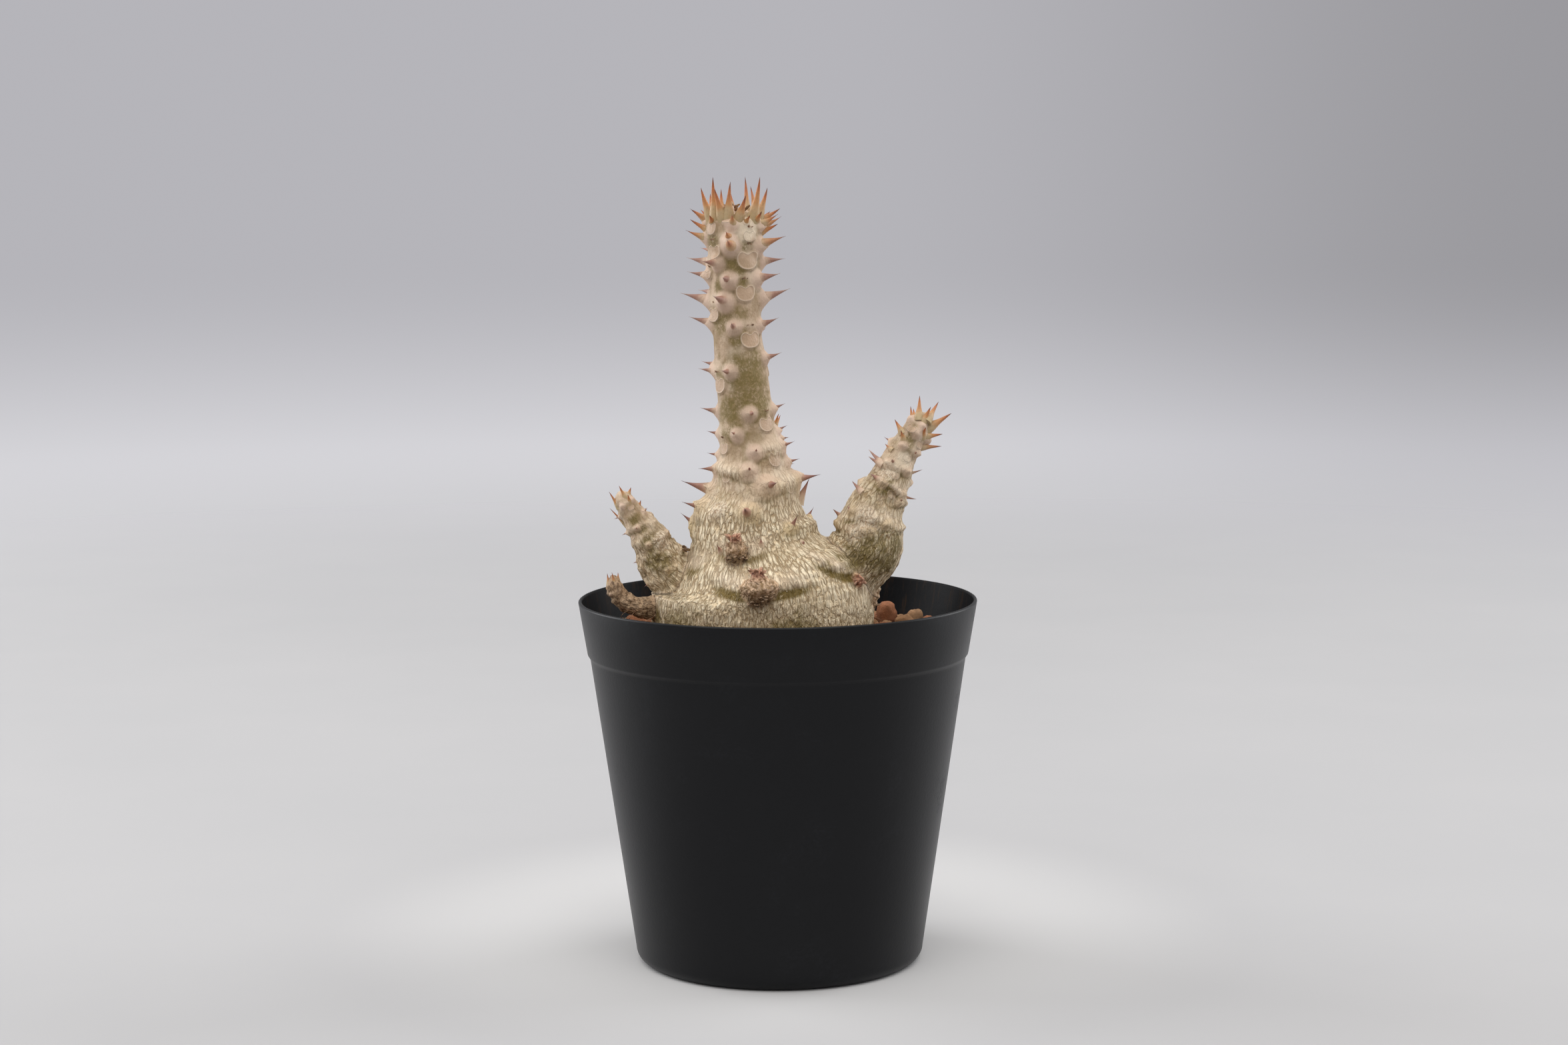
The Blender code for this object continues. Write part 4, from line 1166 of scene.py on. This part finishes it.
# several colours here stand in for light: the darkest brown is painted shade in the skin's hollows, the dark
# olive of the ledge creases is partly painted shadow, the pale ledge colour is partly a painted highlight,
# and the two plate colours paint shading across the cork plates
barkColours = {
    "tan": (0.325, 0.220, 0.126), "cream": (0.50, 0.365, 0.252), "wax": (0.70, 0.60, 0.48),
    "peel": (0.80, 0.68, 0.52), "wing": (0.150, 0.095, 0.008), "olive": (0.245, 0.172, 0.060),
    "moss": (0.165, 0.122, 0.032), "oldMound": (0.68, 0.52, 0.29), "groove": (0.25, 0.165, 0.075),
    "valley": (0.82, 0.645, 0.41), "litRidge": (0.97, 0.85, 0.62), "ledge": (0.76, 0.61, 0.46),
    "mound": (0.61, 0.44, 0.35), "scar": (0.50, 0.345, 0.235), "rim": (0.72, 0.57, 0.43),
    "dirtAndPaintedShade": (0.12, 0.080, 0.032), "woodDark": (0.075, 0.036, 0.016), "woodPale": (0.38, 0.26, 0.145),
    "budDark": (0.19, 0.060, 0.030), "budPale": (0.58, 0.31, 0.20), "neck": (0.36, 0.225, 0.105),
    "lobe": (0.72, 0.50, 0.33), "husk": (0.115, 0.060, 0.026), "huskPale": (0.43, 0.285, 0.17),
}


def plates(tree, coords, scale):
    # 0 on the lines between long plates, rising inside them
    bend = vector(tree, "SCALE", cloud(tree, coords, 1.6, 2.0, 0.5, "Color"), 0.75)
    return put(tree, "ShaderNodeTexVoronoi", {"Vector": vector(tree, "ADD", coords, bend), "Scale": scale},
               feature="DISTANCE_TO_EDGE")


def barkMaterial():
    material, tree, spot = newMaterial("barkSkin")
    c = barkColours
    ring, cone, ledge, crease, wing, cork, hollow, green = [attribute(tree, name) for name in (
        "ring", "cone", "ledge", "crease", "wing", "cork", "hollow", "green")]
    moss, pale, wax, bud, budUp, woody, flowMix = [attribute(tree, name) for name in (
        "moss", "pale", "wax", "bud", "budUp", "woody", "flowMix")]

    def both(first, second):
        return times(tree, first, second)

    def step(value, low, high):
        return ramp(tree, value, low, high)

    def blend(share, first, second):
        # a bark colour may be given by its name
        return blendColour(tree, share, c.get(first, first), c.get(second, second))

    cracks, valleys = [], []
    for name in ("flowA", "flowB"):
        flow = attribute(tree, name, "Vector")
        wide, fine = plates(tree, flow, 1.0), plates(tree, flow, 2.0)
        cracks.append(calc(tree, "MAXIMUM", step(wide, 0.115, 0.035), both(step(fine, 0.12, 0.03), 0.45)))
        # painted shading across each plate, from dark at its edges to light in its middle, used as its bump
        # too
        valleys.append(step(wide, 0.03, 0.30))
    valley = mix(tree, flowMix, *valleys)
    crack = both(mix(tree, flowMix, *cracks), step(cloud(tree, spot, 700.0, 2.0, 0.5), 0.26, 0.46))
    patches, specks = cloud(tree, spot, 330.0, 4.0), cloud(tree, spot, 1900.0)
    young = without(tree, cork)
    mossAndCreaseShadow = calc(tree, "MAXIMUM", moss, crease)
    damp = calc(tree, "MAXIMUM", crack, without(tree, step(specks, 0.42, 0.62)))
    # darker olive towards the foot of the caudex, below the rim: partly greenish stain and partly painted
    # shade where the pot shuts out light
    foot = step(put(tree, "ShaderNodeSeparateXYZ", {0: spot}, "Z"), 0.083, 0.076)
    edge = both(young, both(step(ring, 0.84, 0.95), step(ring, 1.05, 0.98)))
    scale = calc(tree, "MAXIMUM", step(specks, 0.40, 0.58), step(cork, 0.5, 0.2))
    flakes = step(cloud(tree, spot, 1300.0), 0.36, 0.60)
    lobes = both(step(budUp, 0.20, 0.45), 0.88)
    stub = blend(lobes, blend(flakes, "woodDark", "woodPale"), blend(flakes, "neck", "lobe"))
    stub = blend(step(budUp, 0.72, 0.92), stub, blend(flakes, "budDark", "budPale"))
    # the cork plates, painted lighter in the middle and darker towards their edges as shading of their
    # rounded faces, with dark lines in the cracks between them
    cracked = blend(both(crack, 0.85), blend(valley, "valley", "litRidge"), "groove")

    # where each layer of colour lies, how strong it is and its colour, from the plain skin up
    skin = blend(step(patches, 0.38, 0.64), "tan", "cream")
    for share, strength, colour in (
            (step(wax, 0.45, 0.85), 0.42, "wax"),
            (both(green, step(patches, 0.62, 0.40)), 1.0, "olive"),
            (cork, 0.88, cracked),
            # pale ledge tops: partly the bark's own pale tone and partly a painted highlight where the light
            # from above falls on them
            (ledge, 0.48, "ledge"),
            # olive and moss on the moss patches, and in the creases under the ledges, where it is partly
            # painted shadow
            (both(mossAndCreaseShadow, step(patches, 0.75, 0.42)), 0.75, "olive"),
            (both(mossAndCreaseShadow, damp), 0.75, "moss"),
            # olive towards the foot: partly stain and partly painted shade
            (both(foot, step(patches, 0.30, 0.62)), 0.60, "olive"),
            # painted shade: the skin is darkened to deep brown where it is concave
            (step(hollow, 0.12, 0.9), 0.55, "dirtAndPaintedShade"),
            # painted highlight: the skin is lightened with the pale ledge colour where it bulges out
            (step(hollow, -0.25, -1.0), 0.30, "ledge"),
            # the dark olive crease under each ledge of the swollen base, partly the bark's own green and
            # partly painted shadow
            (both(step(wing, 0.15, 0.75), step(specks, 0.26, 0.42)), 0.95, "wing"),
            (step(cone, 1.0, 0.5), 0.70, blend(cork, "mound", "oldMound")),
            (both(young, step(ring, 1.00, 0.93)), 0.75, "scar"),
            (edge, 0.65, "rim"),
            (both(pale, scale), 0.80, "peel"),
            (both(pale, without(tree, scale)), 0.45, "scar"),
            (woody, 0.85, blend(flakes, "husk", "huskPale")),
            (bud, 1.0, stub)):
        skin = blend(both(share, strength), skin, colour)
    shine = times(tree, both(young, step(ring, 1.0, 0.9)), 0.22)
    relief = both(calc(tree, "SUBTRACT", both(valley, 0.7), crack), cork)
    relief = plus(tree, plus(tree, relief, both(specks, 0.45)), both(edge, 0.40))
    setShader(tree, {"Base Color": skin, "Roughness": calc(tree, "SUBTRACT", 0.64, shine),
                     "Specular IOR Level": 0.35}, relief, strength=1.0, depth=0.00028)
    return material


# the spines, in millimetres: in pairs beside the scars, and given one by one on each growing tip

spineSizes = {
    "foot": 0.28,
    "sides": 12,
    "rings": 11,
    "seed": 5,
    "root": 0.10,
    "bareTip": {"trunk": 2.6, "right": 5.0, "left": 3.2, "rear": 4.5, "low": 2.0},
    "frontSide": 115.0,
    "footLift": ((99, 104), (42, 8)),
    "trunkTone": ((118, 127, 158, 163), (0.0, 0.5, 0.5, 0.9)),
    "branchTone": ((0.0, 0.3), (1.0, 0.15)),
    "tipTone": ((112, 117), (0.3, 0.95)),
    "crownAt": (-9.25, 0.0, 0.0),
    "crownRadius": 5.3,
    "crownHeight": 167.8,
    "skirtBend": 0.4,
    # angle of the foot, tip, girth and bend of the top ones
    "crown": ((-72, (-16.5, -2.6, 174.6), 1.5, 0.7), (-50, (-13.8, -4.6, 176.9), 1.5, 0.5),
              (-27, (-13.4, -7.0, 174.4), 1.5, 0.4), (-13, (-9.9, -6.8, 175.9), 1.5, 1.5),
              (12, (-6.5, -7.9, 172.9), 1.45, 0.5), (52, (-3.4, -4.6, 176.9), 1.5, 0.7),
              (80, (-1.8, -1.0, 174.5), 1.45, 0.6), (118, (-5.6, 4.6, 174.8), 1.2, 0.5),
              (148, (-6.8, 6.0, 176.9), 1.3, 0.5), (180, (-10.2, 6.6, 173.6), 1.25, 0.6),
              (-150, (-12.2, 6.2, 174.2), 1.25, 0.6), (-118, (-14.6, 4.4, 173.2), 1.25, 0.6),
              (-95, (-16.4, 1.4, 172.6), 1.2, 0.6)),
    # angle and height of the foot, tip and girth of the lower ones
    "skirt": ((-62, 166.9, (-14.5, -7.8, 168.6), 1.1), (-88, 167.2, (-18.8, -0.8, 169.8), 1.3),
              (-80, 164.9, (-19.0, -1.4, 167.6), 1.2), (92, 166.9, (1.0, 0.0, 169.9), 1.3),
              (80, 164.4, (0.5, -1.6, 166.5), 1.2), (62, 167.0, (-3.0, -7.4, 169.4), 1.1),
              (28, 166.8, (-5.6, -8.2, 168.6), 0.9), (120, 166.5, (-1.2, 5.6, 169.2), 1.2),
              (160, 166.8, (-7.0, 9.0, 169.6), 1.2), (-160, 166.4, (-12.4, 8.8, 169.0), 1.2),
              (-125, 166.6, (-16.8, 5.8, 169.6), 1.2)),
    # x, y, z of the tip and girth, on each branch
    "tips": {
        "right": ((30.8, 4.0, 124.8, 1.0), (34.0, 4.2, 124.0, 1.0), (30.4, 3.8, 120.6, 0.9)),
        "left": ((-37.7, -1.5, 106.9, 0.75), (-35.4, -2.8, 108.4, 0.75), (-32.8, -1.0, 107.8, 0.8),
                 (-33.4, -3.6, 106.5, 0.7), (-30.6, -1.5, 105.0, 0.65), (-37.6, -0.8, 103.1, 0.6),
                 (-35.6, 2.2, 107.8, 0.75), (-33.0, 2.4, 105.2, 0.7)),
        "rear": ((-4.0, 21.4, 122.8, 0.8), (-1.4, 20.9, 123.3, 0.8), (0.4, 22.0, 122.4, 0.8),
                 (-5.0, 24.2, 121.6, 0.8), (-2.2, 25.8, 123.2, 0.8), (0.8, 25.2, 121.8, 0.8)),
        "low": ((-38.0, -7.2, 89.2, 0.6), (-36.9, -8.4, 89.6, 0.6), (-35.6, -7.0, 89.4, 0.55),
                (-37.4, -5.8, 88.6, 0.55)),
    },
    # tip, x and z of the foot as seen from the front, and girth
    "rightFront": (((32.0, -1.0, 128.1), (31.6, 123.2), 1.2), ((30.1, 2.5, 125.5), (30.4, 122.0), 0.9),
                   ((34.4, -2.6, 125.7), (32.7, 122.2), 1.15), ((36.3, 0.6, 126.6), (33.9, 122.6), 1.2),
                   ((39.1, -0.8, 124.1), (34.2, 120.5), 1.45), ((37.1, -1.4, 119.5), (33.4, 118.8), 1.1),
                   ((36.9, -0.8, 116.7), (32.6, 116.2), 1.05), ((26.4, -1.0, 122.8), (27.8, 120.0), 1.05),
                   ((27.7, -4.2, 120.6), (28.2, 118.6), 0.9), ((33.2, -4.6, 121.3), (32.8, 118.9), 0.9),
                   ((24.2, -1.6, 117.4), (25.5, 116.2), 0.75), ((20.6, 1.0, 115.9), (23.4, 113.0), 1.0),
                   ((20.5, -1.0, 114.5), (23.2, 112.9), 1.0), ((20.8, -3.4, 110.9), (23.0, 109.6), 1.0),
                   ((16.8, -1.0, 109.0), (18.8, 106.8), 1.0), ((15.7, -3.6, 103.8), (16.6, 101.8), 0.8),
                   ((12.5, -2.0, 102.8), (13.8, 101.2), 0.8), ((32.6, -1.0, 111.5), (31.0, 110.2), 0.45),
                   ((31.2, -2.0, 104.9), (29.4, 104.8), 0.6), ((25.6, -6.4, 114.4), (25.9, 113.6), 0.6),
                   ((31.2, -4.4, 115.8), (31.0, 115.0), 0.6), ((28.0, -6.2, 105.2), (27.8, 104.6), 0.6)),
    # angle, height, reach, lift and girth of the short spines on the swollen base
    "caudex": ((-31, 95.6, 1.2, 1.8, 0.8), (7, 96.0, 1.0, 1.9, 0.8), (100, 104.6, 2.4, 5.6, 1.5),
               (118, 95.0, 1.6, 2.0, 0.9), (150, 98.0, 1.6, 2.0, 0.9), (205, 97.5, 1.6, 2.0, 0.9),
               (235, 94.5, 1.6, 2.0, 0.9), (175, 101.0, 1.6, 2.0, 0.9), (46, 94.6, 0.6, 0.4, 0.8)),
}
spineTones = (  # old grey spines, dry ones and fresh red ones, from foot to tip
    ((0.0, (0.58, 0.45, 0.31)), (0.28, (0.52, 0.37, 0.25)), (0.50, (0.38, 0.20, 0.14)),
     (0.75, (0.24, 0.105, 0.085)), (0.97, (0.10, 0.055, 0.055))),
    ((0.0, (0.62, 0.48, 0.36)), (0.30, (0.58, 0.42, 0.31)), (0.52, (0.35, 0.185, 0.135)),
     (0.75, (0.33, 0.185, 0.145)), (0.97, (0.42, 0.32, 0.27))),
    ((0.0, (0.46, 0.36, 0.20)), (0.30, (0.50, 0.36, 0.20)), (0.50, (0.52, 0.255, 0.10)),
     (0.76, (0.44, 0.145, 0.050)), (0.97, (0.13, 0.040, 0.022))),
)
spineMottle = (0.16, 0.09, 0.055)


def standOn(tree, points, shape):
    # a copy of the shape at each point, its Z along "aim" and its Y towards "lean"
    aim, lean = named(tree, "aim", "FLOAT_VECTOR"), named(tree, "lean", "FLOAT_VECTOR")
    turn = put(tree, "FunctionNodeAlignRotationToVector", {"Vector": aim}, axis="Z")
    turn = put(tree, "FunctionNodeAlignRotationToVector", {"Rotation": turn, "Vector": lean}, axis="Y",
               pivot_axis="Z")
    return standAt(tree, points, shape, turn, named(tree, "size", "FLOAT_VECTOR"))


def spineTree():
    # straight tapered spines with fleshy or plain feet, sunk in the bark and bent towards their lean
    tree, given = growTree("taperedSpines", (("Sides", "Int", 8), ("Rings", "Int", 8), ("Root", "Float", 0.1),
                                             ("Fleshy", "Float", 0.0), ("Material", "Material", None)))
    shaft = put(tree, "GeometryNodeCurvePrimitiveLine", {"Start": (0, 0, 0), "End": (0, 0, 1)})
    shaft = put(tree, "GeometryNodeResampleCurve", {"Curve": shaft, "Count": given["Rings"]})
    share = put(tree, "GeometryNodeSplineParameter", output="Factor")
    rest = without(tree, share)
    waist = without(tree, times(tree, ramp(tree, share, 0.2, 0.6), 0.3))
    fat = times(tree, calc(tree, "POWER", rest, 0.8), waist)
    girth = mix(tree, given["Fleshy"], calc(tree, "POWER", rest, 1.5), fat)
    shaft = store(tree, shaft, "up", share)
    shaft = store(tree, shaft, "girth", calc(tree, "MAXIMUM", girth, 0.012))
    sink = times(tree, rest, times(tree, given["Root"], -1.0))
    shaft = shift(tree, shaft, put(tree, "ShaderNodeCombineXYZ", {"Z": sink}))
    ring = put(tree, "GeometryNodeCurvePrimitiveCircle", {"Resolution": given["Sides"], "Radius": 1.0})
    real = standOn(tree, given["Geometry"], sweep(tree, shaft, ring))
    hook = times(tree, calc(tree, "POWER", named(tree, "up"), 2.5), named(tree, "bend"))
    real = shift(tree, real, vector(tree, "SCALE", named(tree, "lean", "FLOAT_VECTOR"), hook))
    return endTree(tree, real, given["Material"])


def spineMaterial():
    material, tree, spot = newMaterial("spineHorn")
    tone = attribute(tree, "tone")
    mottle = cloud(tree, spot, 1500.0)
    blotch = calc(tree, "SUBTRACT", cloud(tree, spot, 500.0, 2.0, 0.5), 0.5)
    place = plus(tree, attribute(tree, "up"), times(tree, blotch, 0.35))
    grey, dry, fresh = [palette(tree, place, stops) for stops in spineTones]
    colour = blendColour(tree, ramp(tree, tone, 0.0, 0.5), grey, dry)
    colour = blendColour(tree, ramp(tree, tone, 0.5, 1.0), colour, fresh)
    colour = blendColour(tree, times(tree, ramp(tree, mottle, 0.45, 0.7), 0.22), colour, spineMottle)
    setShader(tree, {"Base Color": colour, "Roughness": 0.48, "Specular IOR Level": 0.4},
              relief=mottle, strength=0.5, depth=0.0001)
    return material


def aroundStem(stem, along, angle=0.0):
    # middle and radius of a stem, its way up, and the way out at this many radians from its front
    x, y, z, radius = centreAt(stem, along)
    up = Vector(centreAt(stem, along + 1.0)[:3] - centreAt(stem, along - 1.0)[:3]).normalized()
    toFront = Vector((0, -1, 0))
    front = (toFront - up * up.dot(toFront)).normalized()
    return Vector((x, y, z)), radius, up, front * math.cos(angle) + up.cross(front) * math.sin(angle)


def pointsWith(name, rows):
    # loose points in millimetres, each with its aim, lean, size, bend and tone
    thing = newObject(name, [row["at"] * mm for row in rows])
    for key in ("aim", "lean"):
        setAttribute(thing.data, key, [tuple(row[key]) for row in rows], "FLOAT_VECTOR")
    setAttribute(thing.data, "size", [[value * mm for value in row["size"]] for row in rows], "FLOAT_VECTOR")
    setAttribute(thing.data, "bend", [row.get("bend", 0.0) * mm for row in rows])
    setAttribute(thing.data, "tone", [row["tone"] for row in rows])
    return thing


def spineFrom(foot, tip, up, girth, tone, bend):
    aim = Vector(tip) - foot - up * bend
    return {"at": foot, "aim": aim.normalized(), "lean": up, "size": (girth, girth, aim.length), "bend": bend,
            "tone": tone}


def leafSpine(draw, name, leaf, side):
    # one of the pair beside a scar, or none where the branch has its own from the list
    p, stem = spineSizes, stems[name]
    tip, size = stem["lengths"][-1], stem["size"]
    turn = leaf["angle"] + skinSizes["pairAngle"] * side + draw.uniform(-3, 3)
    if "scars" in stem and abs(wrap(turn)) < p["frontSide"]:
        return None
    along = leaf["at"] + pairRise(leaf) * size
    centre, radius, up, out = aroundStem(stem, along, math.radians(turn))
    lift = draw.uniform(-4, 12) + 26 * math.exp(-((tip - along) / (5 * size)) ** 2)
    if name == "trunk":
        lift += np.interp(centre.z, *p["footLift"])
        tone = np.interp(centre.z, *p["trunkTone"])
    else:
        tone = np.interp(leaf["age"], *p["branchTone"])
    lift = math.radians(lift)
    length = leaf["length"] * size * draw.uniform(0.85, 1.12)
    foot = centre + out * (radius - 0.1)
    end = foot + (out * math.cos(lift) + up * math.sin(lift)) * length
    return spineFrom(foot, end, up, p["foot"] * length, tone, draw.uniform(-0.1, 0.6) * size)


def leafSpines(draw):
    rows = []
    for name, stem in stems.items():
        for leaf in stem["leaves"]:
            if leaf["at"] <= stem["lengths"][-1] - spineSizes["bareTip"][name]:
                rows += [leafSpine(draw, name, leaf, side) for side in (-1, 1)]
    rows = [row for row in rows if row]
    for angle, height, reach, lift, girth in spineSizes["caudex"]:
        trunk = stems["trunk"]
        centre, radius, up, out = aroundStem(trunk, lengthAt(trunk, height), math.radians(angle))
        foot = centre + out * (radius - 0.1)
        rows.append(spineFrom(foot, foot + out * reach + up * lift, up, girth, 0.1, 0.3))
    return rows


def crownSpines(draw):
    p = spineSizes
    rows = []
    feet = [(angle, p["crownHeight"], tip, girth, bend) for angle, tip, girth, bend in p["crown"]]
    feet += [(angle, height, tip, girth, p["skirtBend"]) for angle, height, tip, girth in p["skirt"]]
    for angle, height, tip, girth, bend in feet:
        out = aimed(math.radians(angle - 90))
        foot = Vector(p["crownAt"]) + out * p["crownRadius"] + Vector((0, 0, height))
        lean = -out if height == p["crownHeight"] else Vector((0, 0, 1))
        rows.append(spineFrom(foot, tip, lean, girth, 1.0, bend))
    for name, tips in p["tips"].items():
        stem = stems[name]
        for x, y, z, girth in tips:
            tip = Vector((x, y, z))
            along = min(lengthAt(stem, z - 3.6 * stem["size"] ** 0.5), stem["lengths"][-1] - 0.9)
            centre, radius, up, _ = aroundStem(stem, along)
            out = tip - centre
            out = (out - up * out.dot(up)).normalized()
            foot = centre + out * (radius - 0.5)
            rows.append(spineFrom(foot, tip, up, girth, 0.95, draw.uniform(0.1, 0.5)))
    stem = stems["right"]
    for tip, (x, z), girth in p["rightFront"]:
        along, _, y = spotOn(stem, x, z, 1 if tip[1] > 1.5 else -1)
        centre, radius, up, _ = aroundStem(stem, min(along, stem["lengths"][-1] - 0.9))
        foot = centre + (Vector((x, y, z)) - centre).normalized() * (radius - 0.35)
        rows.append(spineFrom(foot, tip, up, girth, np.interp(z, *p["tipTone"]), draw.uniform(0.1, 0.4)))
    return rows


def makeSpines():
    p = spineSizes
    draw = random.Random(p["seed"])
    tree, material = spineTree(), spineMaterial()
    for name, makeRows, fleshy in (("sideSpines", leafSpines, 0.0), ("crownSpines", crownSpines, 1.0)):
        rows = makeRows(draw)
        spines = pointsWith(name, rows)
        useTree(spines, tree, {"Sides": p["sides"], "Rings": p["rings"], "Root": p["root"], "Fleshy": fleshy,
                               "Material": material})
        spines.data.shade_smooth()
        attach(spines, "root")
        print(name, "ready:", len(rows))


# small dry scales on the buds, in the leaf axils, in the crown and in the fork, and the dead rootlets

drySizes = {
    "seed": 23,
    "cup": 0.5,
    "scarFlakes": 4,
    "bareAge": 0.75,
    "crownBits": 26,
    "crownTop": (-9.2, 0.0, 170.3),
    "notchFlakes": 3,
    "rootletStep": 0.4,
    "rootletSides": 6,
    "rootletTone": 0.3,
    # x, y, z of the flakes in the forks, and x, y, z and radius along each rootlet
    "notch": ((-20.4, -3.4, 93.6), (-20.9, -2.6, 94.2), (-19.9, -4.4, 93.8), (8.2, -4.0, 92.8),
              (8.9, -5.2, 92.4)),
    "rootlets": (
        ((-31.0, -8.8, 81.4, 0.07), (-32.4, -9.4, 80.2, 0.07), (-33.4, -9.5, 78.4, 0.06),
         (-33.2, -9.9, 76.2, 0.05), (-32.2, -10.6, 74.4, 0.04)),
        ((-29.0, -8.0, 81.8, 0.06), (-31.4, -9.3, 81.0, 0.06), (-34.2, -9.2, 81.6, 0.05),
         (-35.4, -8.9, 83.4, 0.04)),
        ((-27.4, -8.2, 79.6, 0.06), (-29.6, -9.2, 78.6, 0.06), (-31.8, -10.2, 77.4, 0.05),
         (-34.4, -10.6, 76.6, 0.04)),
        ((-33.0, -8.8, 81.2, 0.06), (-34.6, -9.0, 80.2, 0.05), (-35.4, -8.6, 78.4, 0.05),
         (-36.6, -8.0, 77.0, 0.04)),
        ((-26.0, -9.4, 78.2, 0.06), (-27.4, -11.2, 76.8, 0.06), (-29.6, -12.2, 76.2, 0.05),
         (-31.6, -12.0, 75.0, 0.04)),
        ((16.0, 17.0, 78.0, 0.06), (19.0, 18.4, 76.6, 0.06), (22.0, 18.0, 75.4, 0.05),
         (24.4, 16.6, 74.6, 0.04))),
}


def flakeTree():
    # small cupped scales, pressed out of a ball
    tree, given = growTree("dryFlakes", (("Cup", "Float", 0.5), ("Material", "Material", None)))
    ball = put(tree, "GeometryNodeMeshUVSphere", {"Segments": 7, "Rings": 5, "Radius": 1.0})
    across, through, high = addNode(tree, "ShaderNodeSeparateXYZ",
                                    {0: put(tree, "GeometryNodeInputPosition")}).outputs
    up = times(tree, plus(tree, high, 0.75), 0.57)
    wide = times(tree, across, 0.42)
    cup = times(tree, plus(tree, calc(tree, "POWER", up, 2.0), times(tree, wide, wide)), given["Cup"])
    deep = plus(tree, times(tree, through, 0.10), cup)
    place = put(tree, "ShaderNodeCombineXYZ", {0: wide, 1: deep, 2: up})
    leaf = store(tree, put(tree, "GeometryNodeSetPosition", {"Geometry": ball, "Position": place}), "up", up)
    return endTree(tree, standOn(tree, given["Geometry"], leaf), given["Material"])


def flakeMaterial():
    material, tree, spot = newMaterial("dryScale")
    c = barkColours
    mottle = ramp(tree, cloud(tree, spot, 1400.0), 0.35, 0.65)
    tip = times(tree, ramp(tree, attribute(tree, "up"), 0.35, 0.95), 0.45)
    woody = blendColour(tree, mottle, c["woodDark"], c["woodPale"])
    pinkish = blendColour(tree, mottle, c["budDark"], c["budPale"])
    colour = blendColour(tree, tip, blendColour(tree, attribute(tree, "tone"), woody, pinkish), c["cream"])
    setShader(tree, {"Base Color": colour, "Roughness": 0.7, "Specular IOR Level": 0.25},
              relief=mottle, strength=0.6, depth=0.0001)
    return material


def flakeAt(draw, place, out, up, size, tone):
    aim = (up * draw.uniform(0.5, 1.1) + out * draw.uniform(0.2, 0.9)
           + up.cross(out) * draw.uniform(-0.5, 0.5)).normalized()
    return {"at": place, "aim": aim, "lean": out, "tone": tone,
            "size": (size * draw.uniform(0.7, 1.2), size, size * draw.uniform(0.8, 1.3))}


def budFlakes(draw, bud):
    rows = []
    end = bud["lengths"][-1]
    for _ in range(bud["bracts"]):
        share = draw.uniform(0.86, 0.98)
        centre, radius, up, out = aroundStem(bud, end * share, draw.uniform(0, 2 * math.pi))
        size = draw.uniform(0.8, 1.3) * radius**0.5
        rows.append(flakeAt(draw, centre + out * radius * 0.75, out, up, size, 1.0))
    for _ in range(bud["flakes"]):
        along = end * 0.8 * draw.random()**1.6
        centre, radius, up, out = aroundStem(bud, along, draw.uniform(0, 2 * math.pi))
        size = draw.uniform(0.5, 1.0) * radius**0.3
        tone = np.interp(along / end, (0.6, 0.85), (0.05, 0.9))
        rows.append(flakeAt(draw, centre + out * (radius * 0.95), out, up, size, tone))
    return rows


def looseFlakes(draw):
    # flakes above the scars of the trunk, on its flat top and in the forks
    p, skyward = drySizes, Vector((0, 0, 1))
    rows = []
    trunk = stems["trunk"]
    for leaf in trunk["leaves"]:
        for _ in range(p["scarFlakes"] if leaf["age"] <= p["bareAge"] else 0):
            angle = math.radians(leaf["angle"] + draw.uniform(-7, 7))
            centre, radius, up, out = aroundStem(trunk, leaf["at"] + 0.95 * leaf["half"], angle)
            size = draw.uniform(0.35, 0.7)
            rows.append(flakeAt(draw, centre + out * (radius + 0.05), out, up, size, draw.uniform(0.2, 0.9)))
    for _ in range(p["crownBits"]):
        out, reach = aimed(draw.uniform(0, 2 * math.pi)), draw.uniform(0.2, 4.0)
        place = Vector(p["crownTop"]) - skyward * 0.06 * reach**2 + out * reach
        rows.append(flakeAt(draw, place, out, skyward, draw.uniform(0.7, 1.5), draw.uniform(0.0, 0.6)))
    for place in p["notch"]:
        for _ in range(p["notchFlakes"]):
            out = Vector((draw.uniform(-1, 1), -1.0, draw.uniform(0, 0.5))).normalized()
            size = draw.uniform(0.7, 1.3)
            rows.append(flakeAt(draw, Vector(place), out, skyward, size, draw.uniform(0, 0.4)))
    return rows


def makeFlakes():
    p = drySizes
    draw = random.Random(p["seed"])
    material = flakeMaterial()
    rows = [row for bud in buds for row in budFlakes(draw, bud)] + looseFlakes(draw)
    flakes = useTree(pointsWith("dryFlakes", rows), flakeTree(), {"Cup": p["cup"], "Material": material})
    paths = [smoothPath(path, p["rootletStep"]) for path in p["rootlets"]]
    rootlets = makeTubes("rootlets", paths, p["rootletSides"], material)
    count = len(rootlets.data.vertices)
    setAttribute(rootlets.data, "up", np.zeros(count))
    setAttribute(rootlets.data, "tone", np.full(count, p["rootletTone"]))
    for thing in (flakes, rootlets):
        thing.data.shade_smooth()
        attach(thing, "root")
    print("dry flakes ready:", len(rows))


def makePlant():
    prepareStems()
    material = barkMaterial()
    skin = makeSkinBase(material)
    roundSkin(skin)
    print("skin rounded")
    shapeSkin(skin)
    growRoot(skin)
    coat(skin, material)
    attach(skin, "root")
    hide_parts("plant")
    print("skin ready:", len(skin.data.polygons), "faces")
    makeSpines()
    makeFlakes()


makePlant()
